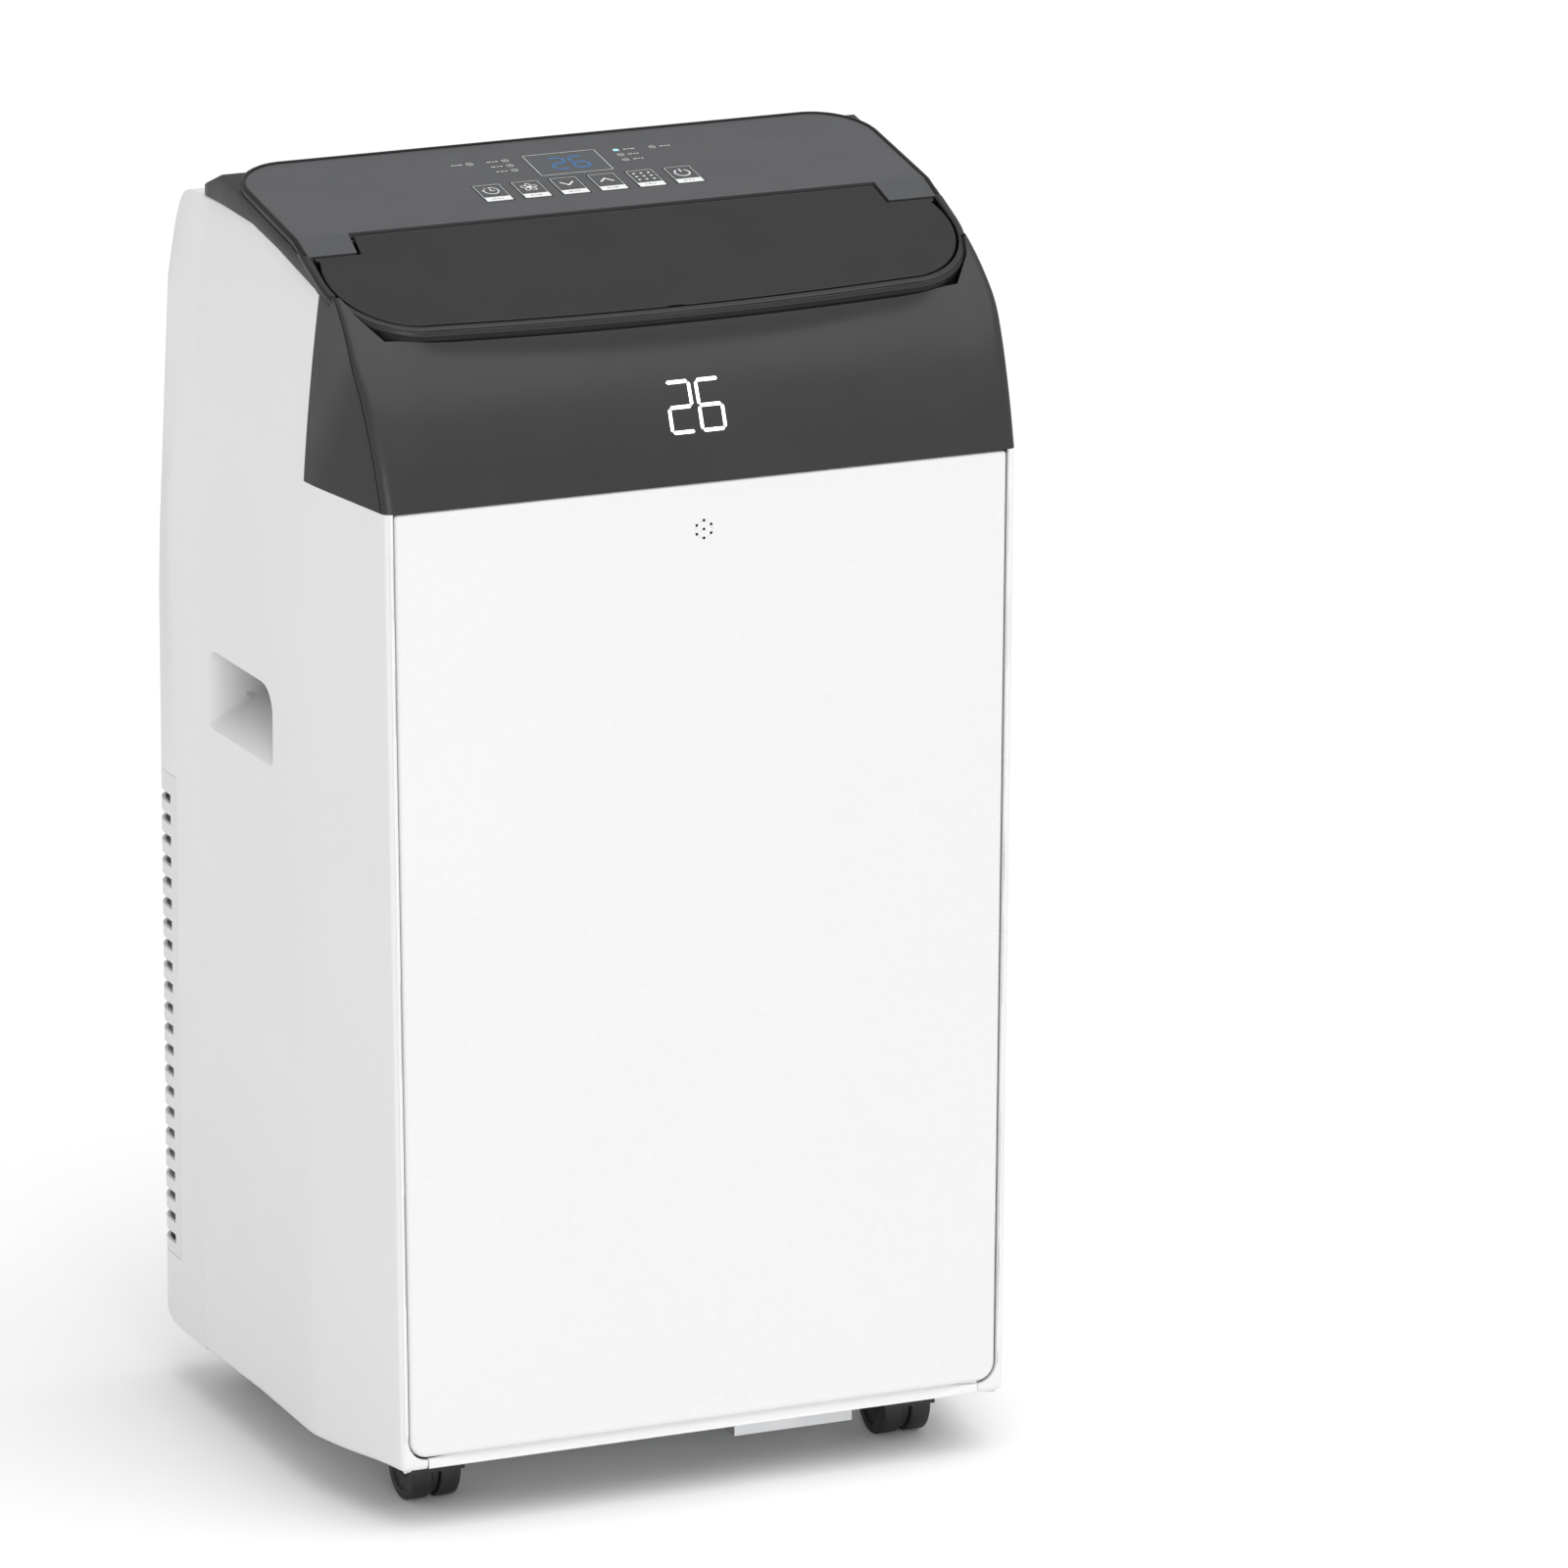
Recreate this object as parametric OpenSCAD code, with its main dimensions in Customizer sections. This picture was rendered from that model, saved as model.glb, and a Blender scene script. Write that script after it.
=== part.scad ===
// Portable air conditioner on four casters, with a hinged flap over its top air outlet.
// The front faces -Y, +X is to the right of someone facing the front, and +Z is up.
// The origin is on the floor, under the middle of the body.

/* [Casing] */
// Width over the creases of the two sides
body_w = 465; // [463:1:468]
// Width of the front face at the foot of the dark cover
front_w = 440; // [438:1:442]
// Depth from the front panel to the rear panel
body_d = 400; // [398:1:402]
// Wall thickness of the moulded shells
wall = 2.6; // [2.4:0.1:2.8]
// Height of the casing's lower edge above the floor
skirt_z = 42; // [41:1:43]
// Height where the dark upper cover starts
band_z = 675; // [673:1:677]
// Width of the white lip round the front panel
lip_w = 6.8; // [6:0.2:7.4]

/* [Top] */
// Height of the line where the control plate meets the flap
hinge_z = 825; // [824:1:826]
// Slope of the control plate, in degrees
plate_slope = 11.4; // [11:0.1:11.8]
// Slope of the flap, in degrees
flap_slope = 24.2; // [24:0.1:24.5]
// Thickness of the control plate
plate_t = 4.2; // [4:0.1:4.4]
// Thickness of the flap's skin
flap_t = 3; // [2.6:0.1:3.2]
// Gap round the flap
flap_gap = 1.6; // [1.5:0.1:1.8]

/* [Keys] */
// Width of one key
key_w = 18.2; // [17:0.2:19]
// Length of one key up the plate
key_l = 27; // [25:0.5:28]
// Distance between two keys
key_pitch = 26.9; // [26:0.1:27.5]

/* [Louvres] */
// Distance between two louvre vanes
vane_pitch = 62; // [60:1:64]

/* [Handles] */
// Length of a handle recess
handle_l = 113; // [104:1:114]
// Height of a handle recess at the casing's face
handle_h = 53; // [50:1:54]
// Depth of a handle recess
handle_depth = 38; // [34:1:40]

/* [Exhaust] */
// Side of the square exhaust passage
port_w = 150; // [146:1:152]

/* [Casters] */
// Diameter of a caster wheel
wheel_d = 43; // [42:0.5:43.5]
// Distance from the middle of the body to a front caster, sideways
caster_x = 168; // [166:1:170]
// Distance from the middle of the body to a caster, front to back
caster_y = 137; // [135:1:139]

/* [Hidden] */
$fn = 48;

gap = 0.4;                       // gap between neighbouring casing parts
pin_gap = 0.06;                  // radial clearance of a pin in its bore
half_w = body_w / 2;
half_front = front_w / 2;
front_y = -body_d / 2;
rear_y = body_d / 2;
crease_y = -92;                  // front crease of the sides, at the foot of the dark cover
rear_crease_y = 97;              // rear crease of the sides, and the seam of the rear panel
rear_half = 224;                 // half width at the rear corners, before rounding
rear_corner_r = 30;
far = 400;                       // reaches past the casing in every direction

// Top lines
hinge_y = -59.3;                 // where the control plate's slope turns into the flap's
ridge_y = 57;                    // rear edge of the control plate
cap_rear_y = 108;                // rear edge of the top cover
function flap_line(y) = hinge_z + tan(flap_slope) * (y - hinge_y);
function plate_line(y) = hinge_z + tan(plate_slope) * (y - hinge_y);
ridge_z = plate_line(ridge_y);

// Flap outline, half of it from the rear edge to the middle of the front edge
flap_rear_half = 182.5;
flap_notch_y = -79.2;
corner = [168, -102];            // middle of the flap's rounded front corner
corner_r = 50;
flap_front_y = -157;
front_bow_r = 2700;              // radius of the bowed front edge
rim_w = 6;                       // width of the top cover's rim round the flap
flap_axis_back = 4.7;            // from the hinge line to the flap's axis, down the flap
flap_axis_deep = 3.5;            // depth of the flap's axis below its face
flap_axis = [hinge_y - flap_axis_back * cos(flap_slope) + flap_axis_deep * sin(flap_slope),
             hinge_z - flap_axis_back * sin(flap_slope) - flap_axis_deep * cos(flap_slope)];
flap_pin_r = 1.6;
flap_pin_end = 190;
flap_barrel_r = 4;
plate_front_y = flap_axis[0] + flap_barrel_r + 0.6;

// Outlet and louvres
duct_half = 175.5;
duct_y = [-151, -71];
duct_wall = 3;
scroll_top = 690;                // where the upper scroll meets the outlet duct
vane_z = 740;
crank_drop = 22;                 // from a vane's pivot down to its crank pin
vane_xs = [for (i = [-2:2]) i * vane_pitch];
vane_pin_r = 1.8;
crank_pin_r = 1.5;

// Plate fittings, measured up the plate from its front line
key_centre = 40.6;
display_centre = 75.5;
display_size = [52, 33];
key_xs = [for (i = [0:5]) (i - 2.5) * key_pitch];

// Handles
handle_y = [-37, -37 + handle_l];
handle_top = 526;

// Rear openings
port_z = 367;
port_frame = port_w + 20;        // side of the square frame of the exhaust port
exhaust_z = port_z - port_w / 2 - duct_wall;
grille_z = [90, 421];
grille_start_y = 146;
grille_rows = 22;
grille_pitch = 14.4;
slot_h = 6.4;
filter_z = [470, 740];
filter_half = 165;

// Air path
evaporator_axis = [0, 565];      // x and z of the upper blower
condenser_axis = [0, 178];       // x and z of the lower blower
condenser_y = [40, 120];
splash_axis = [128, 92];
compressor_at = [-125, -95];
stud_r = 72;                     // from the compressor's axis to its three studs
stud_places = [for (a = [30:120:270]) compressor_at + stud_r * [cos(a), sin(a)]];
accumulator_at = [-45, -132];
shaft_r = 4;
drain_at = [-150, 444];
gland_at = [150, 444];
pan_drain_z = 68;
float_at = [175, 40];
pan_z = 50;
belly_flange = 15;               // how far the casing turns in under the base pan
sump_x = [28, 112];              // shallow well under the pan, which shows below the front
sump_y = [-183.5, -150];
sump_z = 30;

// Caster
rear_caster_x = caster_x - 12;
caster_places = [for (side = [-1, 1]) each [[side * caster_x, -caster_y], [side * rear_caster_x, caster_y]]];
caster_trail = 8;                // from the swivel axis back to the axle
stem_r = 5.5;
stem_top = 66;
axle_r = 2.5;
wheel_z = wheel_d / 2;

// Curves
function arc(c, r, a0, a1, n = 8) =
    [for (i = [0:n]) let(a = a0 + (a1 - a0) * i / n) c + r * [cos(a), sin(a)]];
function bezier(a, b, c, n = 8) =
    [for (i = [0:n]) let(t = i / n) a * (1 - t) * (1 - t) + b * 2 * t * (1 - t) + c * t * t];
function mirrored(half) = concat(half, [for (i = [len(half) - 1:-1:0]) [-half[i][0], half[i][1]]]);
function shifted(points, by) = [for (p = points) p + by];

// Side view of the casing, as [y, z]
rear_line = concat(
    arc([rear_y - 45, skirt_z + 45], 45, -90, 0),
    [[rear_y, 100]],
    bezier([194.5, 360], [193.5, 433], [180.5, 530]),
    bezier([145.5, 790], [142, 820], [120, 821.5])
);
side_top = [[80, 824], [55, 823.6], [7, 821.4], [-36, 813.6], [-69, 806], [-98, 799.5]];
band_curve = concat(
    [[-110, 807]],
    bezier([-120, 803.5], [-160, 780], [-182, 728]),
    [[-192, 702], [front_y, band_z]]
);
casing_side = concat(
    [[front_y, skirt_z + 2], [front_y + 2, skirt_z], [-170, skirt_z - 0.4], [-134, skirt_z - 3],
     [crease_y, skirt_z - 3.6], [-45, skirt_z - 1.6], [0, skirt_z]],
    rear_line, side_top, [[-120, 795], [-157, 774], [-182, 728], [front_y, band_z]]
);
cover_side = concat([[front_y, 600], [-60, 600], [-60, 815]], band_curve);
// Plan of the casing, right half from the rear to the front, as [x, y]
casing_plan = mirrored(concat(
    arc([rear_half - rear_corner_r, rear_y - rear_corner_r], rear_corner_r, 90, 6),
    [[half_w - 4, rear_crease_y], [half_w, crease_y], [half_front + 0.6, front_y + 4],
     [half_front - 4, front_y]]
));
// Front view of the casing's sides, which lean in at the top, as [x, z]
casing_front = mirrored(concat(
    [[half_w, 0]],
    bezier([half_w, 600], [half_w, 700], [220.5, 806]),
    [[219, 860]]
));
function front_bow(x) = flap_front_y + x * x / (2 * front_bow_r);
function flap_half_line(g) = concat(
    [[flap_rear_half + g, g > 0 ? plate_front_y : flap_axis[0]], [flap_rear_half + 2 + g, flap_notch_y + g],
     [corner[0] + corner_r - 1 + g, flap_notch_y + g]],
    arc(corner, corner_r + g, 0, -84, 10),
    [for (x = [150, 110, 70, 30]) [x, front_bow(x) - g]]
);
function cap_half_line(inset) = concat(
    arc([corner[0] + corner_r + rim_w - 26, cap_rear_y - 26], 26 - inset, 90, 0),
    arc(corner, corner_r + rim_w - inset, 0, -84, 10),
    [for (x = [150, 110, 70, 30]) [x, front_bow(x) - rim_w + inset]]
);
plate_half_line = concat(
    arc([184, ridge_y - 38], 38, 90, 0, 10),
    [[222, flap_notch_y + flap_gap], [186.6, flap_notch_y + flap_gap], [184.6, plate_front_y]]
);
// Boundary between the dark cover and the white sides, as [y, z]
cheek_edge = [[crease_y, band_z], [crease_y - 6.5, 801]];

// Blocks drawn from an outline: upright, across the width, and from front to back
module prism(half) translate([0, 0, 600]) linear_extrude(300) polygon(mirrored(half));
module along_x(points) rotate([90, 0, 90]) translate([0, 0, -far]) linear_extrude(2 * far) polygon(points);
module along_y(points, y0, y1) translate([0, y1, 0]) rotate([90, 0, 0])
    linear_extrude(y1 - y0) polygon(points);
module span(x, y, z) translate([x[0], y[0], z[0]]) cube([x[1] - x[0], y[1] - y[0], z[1] - z[0]]);
module rod_y(r, x, z, y0, y1) translate([x, y1, z]) rotate([90, 0, 0]) cylinder(r = r, h = y1 - y0);
module rod_x(r, y, z, x0, x1) translate([x0, y, z]) rotate([0, 90, 0]) cylinder(r = r, h = x1 - x0);
module both_sides() {
    children();
    mirror([1, 0, 0]) children();
}
module on_plate() translate([0, hinge_y, hinge_z]) rotate([plate_slope, 0, 0]) children();

// The front part of each side leans in towards the bottom
module toe_in(inset) both_sides()
    translate([-half_front + inset, front_y, band_z]) rotate([0, -0.6, 10])
        span([-90, 0], [-60, 260], [-700, -1]);
module casing_solid(side, inset) difference() {
    intersection() {
        rotate([90, 0, 90]) translate([0, 0, -far]) linear_extrude(2 * far)
            offset(delta = -inset) polygon(side);
        linear_extrude(900) offset(delta = -inset) polygon(casing_plan);
        translate([0, far, 0]) rotate([90, 0, 0]) linear_extrude(2 * far)
            offset(delta = -inset) polygon(casing_front);
    }
    toe_in(inset);
}
module casing_shell(side) difference() {
    casing_solid(side, 0);
    casing_solid(side, wall);
    linear_extrude(pan_z - 1) offset(delta = -belly_flange) polygon(casing_plan);
}
module cheek_zone(grow) along_x([
    [-far, band_z - grow], [cheek_edge[0][0] + grow, band_z - grow],
    [cheek_edge[1][0] + grow, cheek_edge[1][1]], [cheek_edge[1][0] + grow, 900], [-far, 900]
]);
// Inner edge of the lip at its foot and at its top, as [x, z]
function lip_edge(x_gap) =
    [[half_front - lip_w - x_gap - 4.8, skirt_z], [half_front - lip_w - x_gap, band_z]];

// A handle recess is deepest at its top, with a floor that slopes out
module handle_hollow(grow) along_y([
    [-far, handle_top - handle_h - grow], [-half_w + 2, handle_top - handle_h - grow],
    [-half_w + handle_depth + grow, handle_top - 14 - grow],
    [-half_w + handle_depth + grow, handle_top + grow], [-far, handle_top + grow]
], handle_y[0] - grow, handle_y[1] + grow);

module side_panel() color("white") difference() {
    union() {
        intersection() {
            casing_shell(casing_side);
            along_y([[-far, 0], [-lip_edge(0)[0][0], skirt_z], [-lip_edge(0)[1][0], band_z],
                     [-lip_edge(0)[1][0], 900], [-far, 900]], front_y - 1, rear_crease_y);
        }
        intersection() {
            casing_solid(casing_side, 0);
            handle_hollow(wall);
        }
    }
    cheek_zone(gap);
    handle_hollow(0);
}
module left_side_panel() side_panel();
module right_side_panel() mirror([1, 0, 0]) side_panel();

module front_sill() color("white") intersection() {
    casing_shell(casing_side);
    along_y([[-lip_edge(gap)[0][0], 0], [lip_edge(gap)[0][0], 0], [lip_edge(gap)[0][0], skirt_z + 6.2],
             [-lip_edge(gap)[0][0], skirt_z + 6.2]], front_y - 1, front_y + 26);
}

module front_outline(inset) {
    bottom = lip_edge(inset)[0][0];
    top = lip_edge(inset)[1][0];
    low = skirt_z + 6.4 + inset;
    polygon(mirrored(concat([[top, band_z - 0.4 - inset]], arc([bottom - 13, low + 13], 13, 0, -80))));
}
module front_panel() color("whitesmoke") difference() {
    translate([0, front_y + 9, 0]) rotate([90, 0, 0]) linear_extrude(9) front_outline(0.5);
    translate([0, front_y + 10, 0]) rotate([90, 0, 0]) linear_extrude(7) front_outline(3.2);
    for (a = [30:60:330]) rod_y(0.9, 5.8 * cos(a), 644 + 5.8 * sin(a), front_y - 1, front_y + 5);
    rod_y(0.9, 0, 644, front_y - 1, front_y + 5);
}

module upper_front_cover() color("dimgray") difference() {
    intersection() {
        casing_shell(cover_side);
        cheek_zone(0);
    }
    prism(cap_half_line(1.5));
    intersection() {
        prism(cap_half_line(-gap));
        along_x(concat(shifted(side_top, [0, 0.5]),
                       [[-170, flap_line(-170) - 6.5], [-170, 900], [80, 900]]));
    }
}

module top_cover() color("dimgray") difference() {
    intersection() {
        prism(cap_half_line(0));
        along_x(concat(
            [[-170, flap_line(-170)], [flap_notch_y + flap_gap, flap_line(flap_notch_y + flap_gap)],
             [flap_notch_y + flap_gap, flap_line(flap_notch_y + flap_gap) - plate_t - 0.05],
             [hinge_y, hinge_z - plate_t - 0.05], [ridge_y, ridge_z - plate_t - 0.05],
             [cap_rear_y + 4, 822.6]],
            shifted(side_top, [0, 0.9]), [[-170, flap_line(-170) - 6]]));
    }
    intersection() {
        prism(cap_half_line(3.4));
        along_x([[-151, flap_line(-151) - 12],
                 [flap_notch_y + flap_gap + 3, flap_line(flap_notch_y) - plate_t - 3],
                 [hinge_y, hinge_z - plate_t - 3], [ridge_y, ridge_z - plate_t - 3], [100, 824],
                 [100, 700], [-151, 700]]);
    }
    prism(flap_half_line(flap_gap));
    on_plate() span([-88, 88], [22, 98], [-12, 0]);
    flap_pins(pin_gap, 1);
}

// The flap's two pivot pins, which the cover and the control plate hold between them
module flap_pins(grow, longer) both_sides()
    rod_x(flap_pin_r + grow, flap_axis[0], flap_axis[1], flap_rear_half - 4, flap_pin_end + longer);

module control_plate() color("slategray") difference() {
    intersection() {
        prism(plate_half_line);
        along_x([[-100, flap_line(-100)], [hinge_y, hinge_z], [ridge_y + 5, plate_line(ridge_y + 5)],
                 [ridge_y + 5, plate_line(ridge_y + 5) - plate_t], [hinge_y, hinge_z - plate_t],
                 [-100, flap_line(-100) - plate_t]]);
    }
    for (x = key_xs) on_plate()
        span([x - key_w / 2 - 0.3, x + key_w / 2 + 0.3],
             [key_centre - key_l / 2 - 0.3, key_centre + key_l / 2 + 0.3], [-8, 2]);
    on_plate() translate([0, display_centre, 0])
        span([-display_size[0] / 2, display_size[0] / 2],
             [-display_size[1] / 2, display_size[1] / 2], [-1.6, 2]);
    flap_pins(pin_gap, 1);
}
module panel_display() color("black") on_plate() translate([0, display_centre, 0])
    span([-display_size[0] / 2 + 0.1, display_size[0] / 2 - 0.1],
         [-display_size[1] / 2 + 0.1, display_size[1] / 2 - 0.1], [-1.6, 0]);
module control_board() color("darkgreen") on_plate() {
    span([-86, 86], [25, 95], [-8.8, -7.2]);
    span([-60, -30], [60, 90], [-14, -8.8]);
    span([20, 70], [64, 86], [-13, -8.8]);
    for (x = key_xs) translate([x, key_centre, -7.2]) cylinder(r = 3, h = 0.2);
}
module key(i) color("dimgray") on_plate() translate([key_xs[i], key_centre, 0])
    span([-key_w / 2, key_w / 2], [-key_l / 2, key_l / 2], [-6.2, 0.2]);
module key_timer() key(0);
module key_fan() key(1);
module key_down() key(2);
module key_up() key(3);
module key_mode() key(4);
module key_power() key(5);

module front_display() color("black") translate([-1, -183.6, 724]) rotate([-23.7, 0, 0]) {
    span([-30, 30], [4.4, 11], [-22, 22]);
    span([-40, 40], [11, 12.6], [-27, 27]);
}

module flap() color("dimgray") {
    intersection() {
        prism(flap_half_line(0));
        along_x([[-170, flap_line(-170)], [hinge_y, hinge_z],
                 [hinge_y, hinge_z - flap_t], [-170, flap_line(-170) - flap_t]]);
    }
    intersection() {
        rod_x(flap_barrel_r, flap_axis[0], flap_axis[1], -flap_rear_half, flap_rear_half);
        along_x([[-100, 700], [0, 700], [0, flap_line(0)], [-100, flap_line(-100)]]);
    }
    for (y = [-146, -112]) span([-150, 150], [y - 1, y + 1], [flap_line(y) - 7, flap_line(y) - 1]);
    flap_pins(0, 0);
}

module outlet_duct() color("gray") difference() {
    union() {
        intersection() {
            difference() {
                span([-duct_half, duct_half], duct_y, [scroll_top, 900]);
                span([-duct_half + duct_wall, duct_half - duct_wall],
                     [duct_y[0] + duct_wall, duct_y[1] - duct_wall], [0, 900]);
            }
            along_x([[duct_y[0], 600], [duct_y[1], 600], [duct_y[1], flap_line(duct_y[1]) - 9],
                     [duct_y[0], flap_line(duct_y[0]) - 9]]);
        }
        for (x = vane_xs, y = [duct_y[0] - 2, duct_y[1]]) rod_y(5, x, vane_z, y, y + 2);
    }
    for (x = vane_xs) rod_y(vane_pin_r + pin_gap, x, vane_z, duct_y[0] - 3, duct_y[1] + 3);
}

module vane(i) color("gray") translate([vane_xs[i], 0, 0]) {
    span([-0.9, 0.9], [duct_y[0] + duct_wall + 0.5, -82], [vane_z - 25, vane_z + 25]);
    rod_y(3.4, 0, vane_z, duct_y[0] + duct_wall + 0.4, duct_y[1] - duct_wall - 0.4);
    rod_y(vane_pin_r, 0, vane_z, duct_y[0] - 2.5, duct_y[1] + 2.5);
    rod_y(crank_pin_r, 0, vane_z - crank_drop, -84, -76.6);
}
module vane_1() vane(0);
module vane_2() vane(1);
module vane_3() vane(2);
module vane_4() vane(3);
module vane_5() vane(4);
module vane_link() color("black") difference() {
    union() {
        span([vane_xs[0], vane_xs[4]], [-80.6, -77.6], [vane_z - crank_drop - 3, vane_z - crank_drop + 3]);
        for (x = vane_xs) rod_y(4.4, x, vane_z - crank_drop, -80.6, -77.6);
    }
    for (x = vane_xs) rod_y(crank_pin_r + 0.3, x, vane_z - crank_drop, -90, -70);
}

// Rear wall with its openings
module grille_zone(grow) difference() {
    span([-far, far], [grille_start_y - grow, far], [grille_z[0] - grow, grille_z[1] + grow]);
    span([-port_frame / 2 + grow - gap, port_frame / 2 - grow + gap], [0, far],
         [port_z - port_frame / 2 + grow - gap, 900]);
}
module rear_panel() color("white") difference() {
    union() {
        intersection() {
            casing_shell(casing_side);
            span([-far, far], [rear_crease_y + gap, far], [0, 900]);
        }
        intersection() {
            rod_y(20, drain_at[0], drain_at[1], 172, 199);
            casing_solid(casing_side, 0);
        }
    }
    grille_zone(gap);
    span([-port_frame / 2 - gap, port_frame / 2 + gap], [150, far],
         [port_z - port_frame / 2 - gap, port_z + port_frame / 2 + gap]);
    span([-filter_half - gap, filter_half + gap], [120, far], [filter_z[0] - gap, filter_z[1] + gap]);
    rod_y(17, drain_at[0], drain_at[1], 175, far);
    rod_y(8.1, drain_at[0], drain_at[1], 150, far);
    rod_y(9.1, gland_at[0], gland_at[1], 150, far);
    rod_y(11, 0, pan_drain_z, 160, far);
    for (p = screw_places) rod_y(2.1, p[0], p[1], 100, far);
}
screw_places = [for (x = [-190, 190], z = [445, 600, 757]) [x, z]];
module screws() color("silver") for (p = screw_places) {
    y = lookup(p[1], [for (q = rear_line) [q[1], q[0]]]);
    rod_y(2.1, p[0], p[1], y - 14, y + 0.6);
    difference() {
        rod_y(3.8, p[0], p[1], y + 0.6, y + 2.6);
        translate([p[0], y + 3, p[1]]) span([-2.4, 2.4], [-1.2, 0], [-0.5, 0.5]);
        translate([p[0], y + 3, p[1]]) span([-0.5, 0.5], [-1.2, 0], [-2.4, 2.4]);
    }
}

module lower_rear_grille() color("whitesmoke") difference() {
    intersection() {
        casing_shell(casing_side);
        grille_zone(0);
    }
    for (i = [0:grille_rows - 1]) {
        z = grille_z[0] + 8 + i * grille_pitch;
        for (side = [-1, 1]) translate([side * 112, grille_start_y + 12, z])
            span(side < 0 ? [-far, 0] : [0, far], [0, far], [0, slot_h]);
        if (z + slot_h < port_z - port_frame / 2 - 4)
            for (x = [-50, 50]) span([x - 46, x + 46], [150, far], [z, z + slot_h]);
    }
}

module filter_cassette() color("whitesmoke") {
    difference() {
        intersection() {
            difference() {
                casing_solid(casing_side, 0);
                casing_solid(casing_side, 8);
            }
            span([-filter_half, filter_half], [120, far], filter_z);
        }
        for (i = [0:17]) for (x = [-80, 80])
            span([x - 74, x + 74], [100, far], [filter_z[0] + 11 + i * 14, filter_z[0] + 19 + i * 14]);
    }
    intersection() {
        casing_solid(casing_side, 5);
        difference() {
            span([-154, 154], [100, far], [filter_z[0] + 8, filter_z[1] - 8]);
            casing_solid(casing_side, 6.4);
        }
    }
}

module exhaust_port() color("white") difference() {
    span([-port_frame / 2, port_frame / 2], [175, 193], [port_z - port_frame / 2, port_z + port_frame / 2]);
    span([-port_w / 2, port_w / 2], [100, 300], [port_z - port_w / 2, port_z + port_w / 2]);
    span([-port_w / 2 - 6, port_w / 2 + 6], [186, 189.5], [port_z - port_w / 2 - 6, 900]);
    span([-port_w / 2, port_w / 2], [186, 300], [port_z - port_w / 2, 900]);
}

module base_pan() color("gainsboro") difference() {
    union() {
        difference() {
            intersection() {
                casing_solid(casing_side, wall + gap);
                span([-far, far], [front_y + 10, far], [pan_z, 78]);
            }
            intersection() {
                casing_solid(casing_side, wall + gap + 3);
                span([-far, far], [-far, far], [pan_z + 3, 90]);
            }
        }
        for (p = caster_places) translate([p[0], p[1], pan_z]) cylinder(r = 12, h = stem_top + 4 - pan_z);
        for (p = stud_places) translate([p[0], p[1], pan_z]) cylinder(r = 3, h = 24);
        translate([float_at[0], float_at[1], pan_z]) cylinder(r = 2.9, h = 30);
        translate([float_at[0], float_at[1], pan_z]) cylinder(r = 6, h = 6);
        rod_y(9, 0, pan_drain_z, 176, 191);
        span(sump_x, sump_y, [sump_z, pan_z + 1]);
    }
    span([sump_x[0] + wall, sump_x[1] - wall], [sump_y[0] + wall, sump_y[1] - wall],
         [sump_z + wall, pan_z + 4]);
    rod_y(10.5, 0, pan_drain_z, 191, 210);
    for (p = caster_places) translate([p[0], p[1], 0]) cylinder(r = stem_r + pin_gap, h = stem_top + 0.5);
    rod_y(6.5, 0, pan_drain_z, 170, 200);
}

module mid_deck() color("gainsboro") difference() {
    union() {
        span([-212, 212], [-186, 36], [420, 426]);
        span([-212, 212], [-186, -183], [426, 440]);
        span([-212, 212], [33, 36], [426, 440]);
    }
    span([-90, 90], [-130, -20], [423, 430]);
}
module drip_tray() color("gainsboro") difference() {
    span([-190, 190], [84, 134], [450, 466]);
    span([-187.5, 187.5], [86.5, 131.5], [453, 480]);
}

// A coil is a block of fins between two end plates, with return bends
module coil(half, y, z, bends) {
    span([-half, half], y, z);
    both_sides() span([half, half + 1.5], [y[0] - 2, y[1] + 2], [z[0], z[1]]);
    mid = (y[0] + y[1]) / 2;
    step = (z[1] - z[0]) / bends;
    for (i = [0:bends - 1]) translate([half + 1.5, mid, z[0] + step * (i + 0.5)]) rotate([90, 0, 0])
        rotate([0, 0, -90]) rotate_extrude(angle = 180) translate([step * 0.3, 0]) circle(r = 3.6);
}
module evaporator_coil() color("silver") coil(170, [96, 122], [453, 745], 8);
module condenser_coil() color("silver") coil(180, [142, 168], [78, 272], 6);

module scroll_outline(r, half, top, c) {
    translate(c) circle(r = r);
    polygon([[-half, top], [-r * 0.98, c[1] + r * 0.2], [r * 0.98, c[1] + r * 0.2], [half, top]]);
}
module evaporator_scroll() color("lightgray") difference() {
    translate([0, duct_y[1], 0]) rotate([90, 0, 0]) linear_extrude(duct_y[1] - duct_y[0])
        scroll_outline(121, duct_half, scroll_top - 0.2, evaporator_axis);
    translate([0, duct_y[1] - 2.6, 0]) rotate([90, 0, 0]) linear_extrude(duct_y[1] - duct_y[0] - 5.2)
        scroll_outline(118.4, duct_half - duct_wall, scroll_top + 5, evaporator_axis);
    rod_y(86, evaporator_axis[0], evaporator_axis[1], -80, -60);
    rod_y(12, evaporator_axis[0], evaporator_axis[1], -160, -140);
}
module condenser_scroll() color("lightgray") difference() {
    translate([0, condenser_y[1], 0]) rotate([90, 0, 0]) linear_extrude(condenser_y[1] - condenser_y[0])
        scroll_outline(104, port_w / 2 + duct_wall, exhaust_z - gap, condenser_axis);
    translate([0, condenser_y[1] - 2.6, 0]) rotate([90, 0, 0])
        linear_extrude(condenser_y[1] - condenser_y[0] - 5.2)
        scroll_outline(101.4, port_w / 2, exhaust_z + 5, condenser_axis);
    rod_y(70, condenser_axis[0], condenser_axis[1], 110, 130);
    rod_y(12, condenser_axis[0], condenser_axis[1], 30, 50);
}
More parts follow.
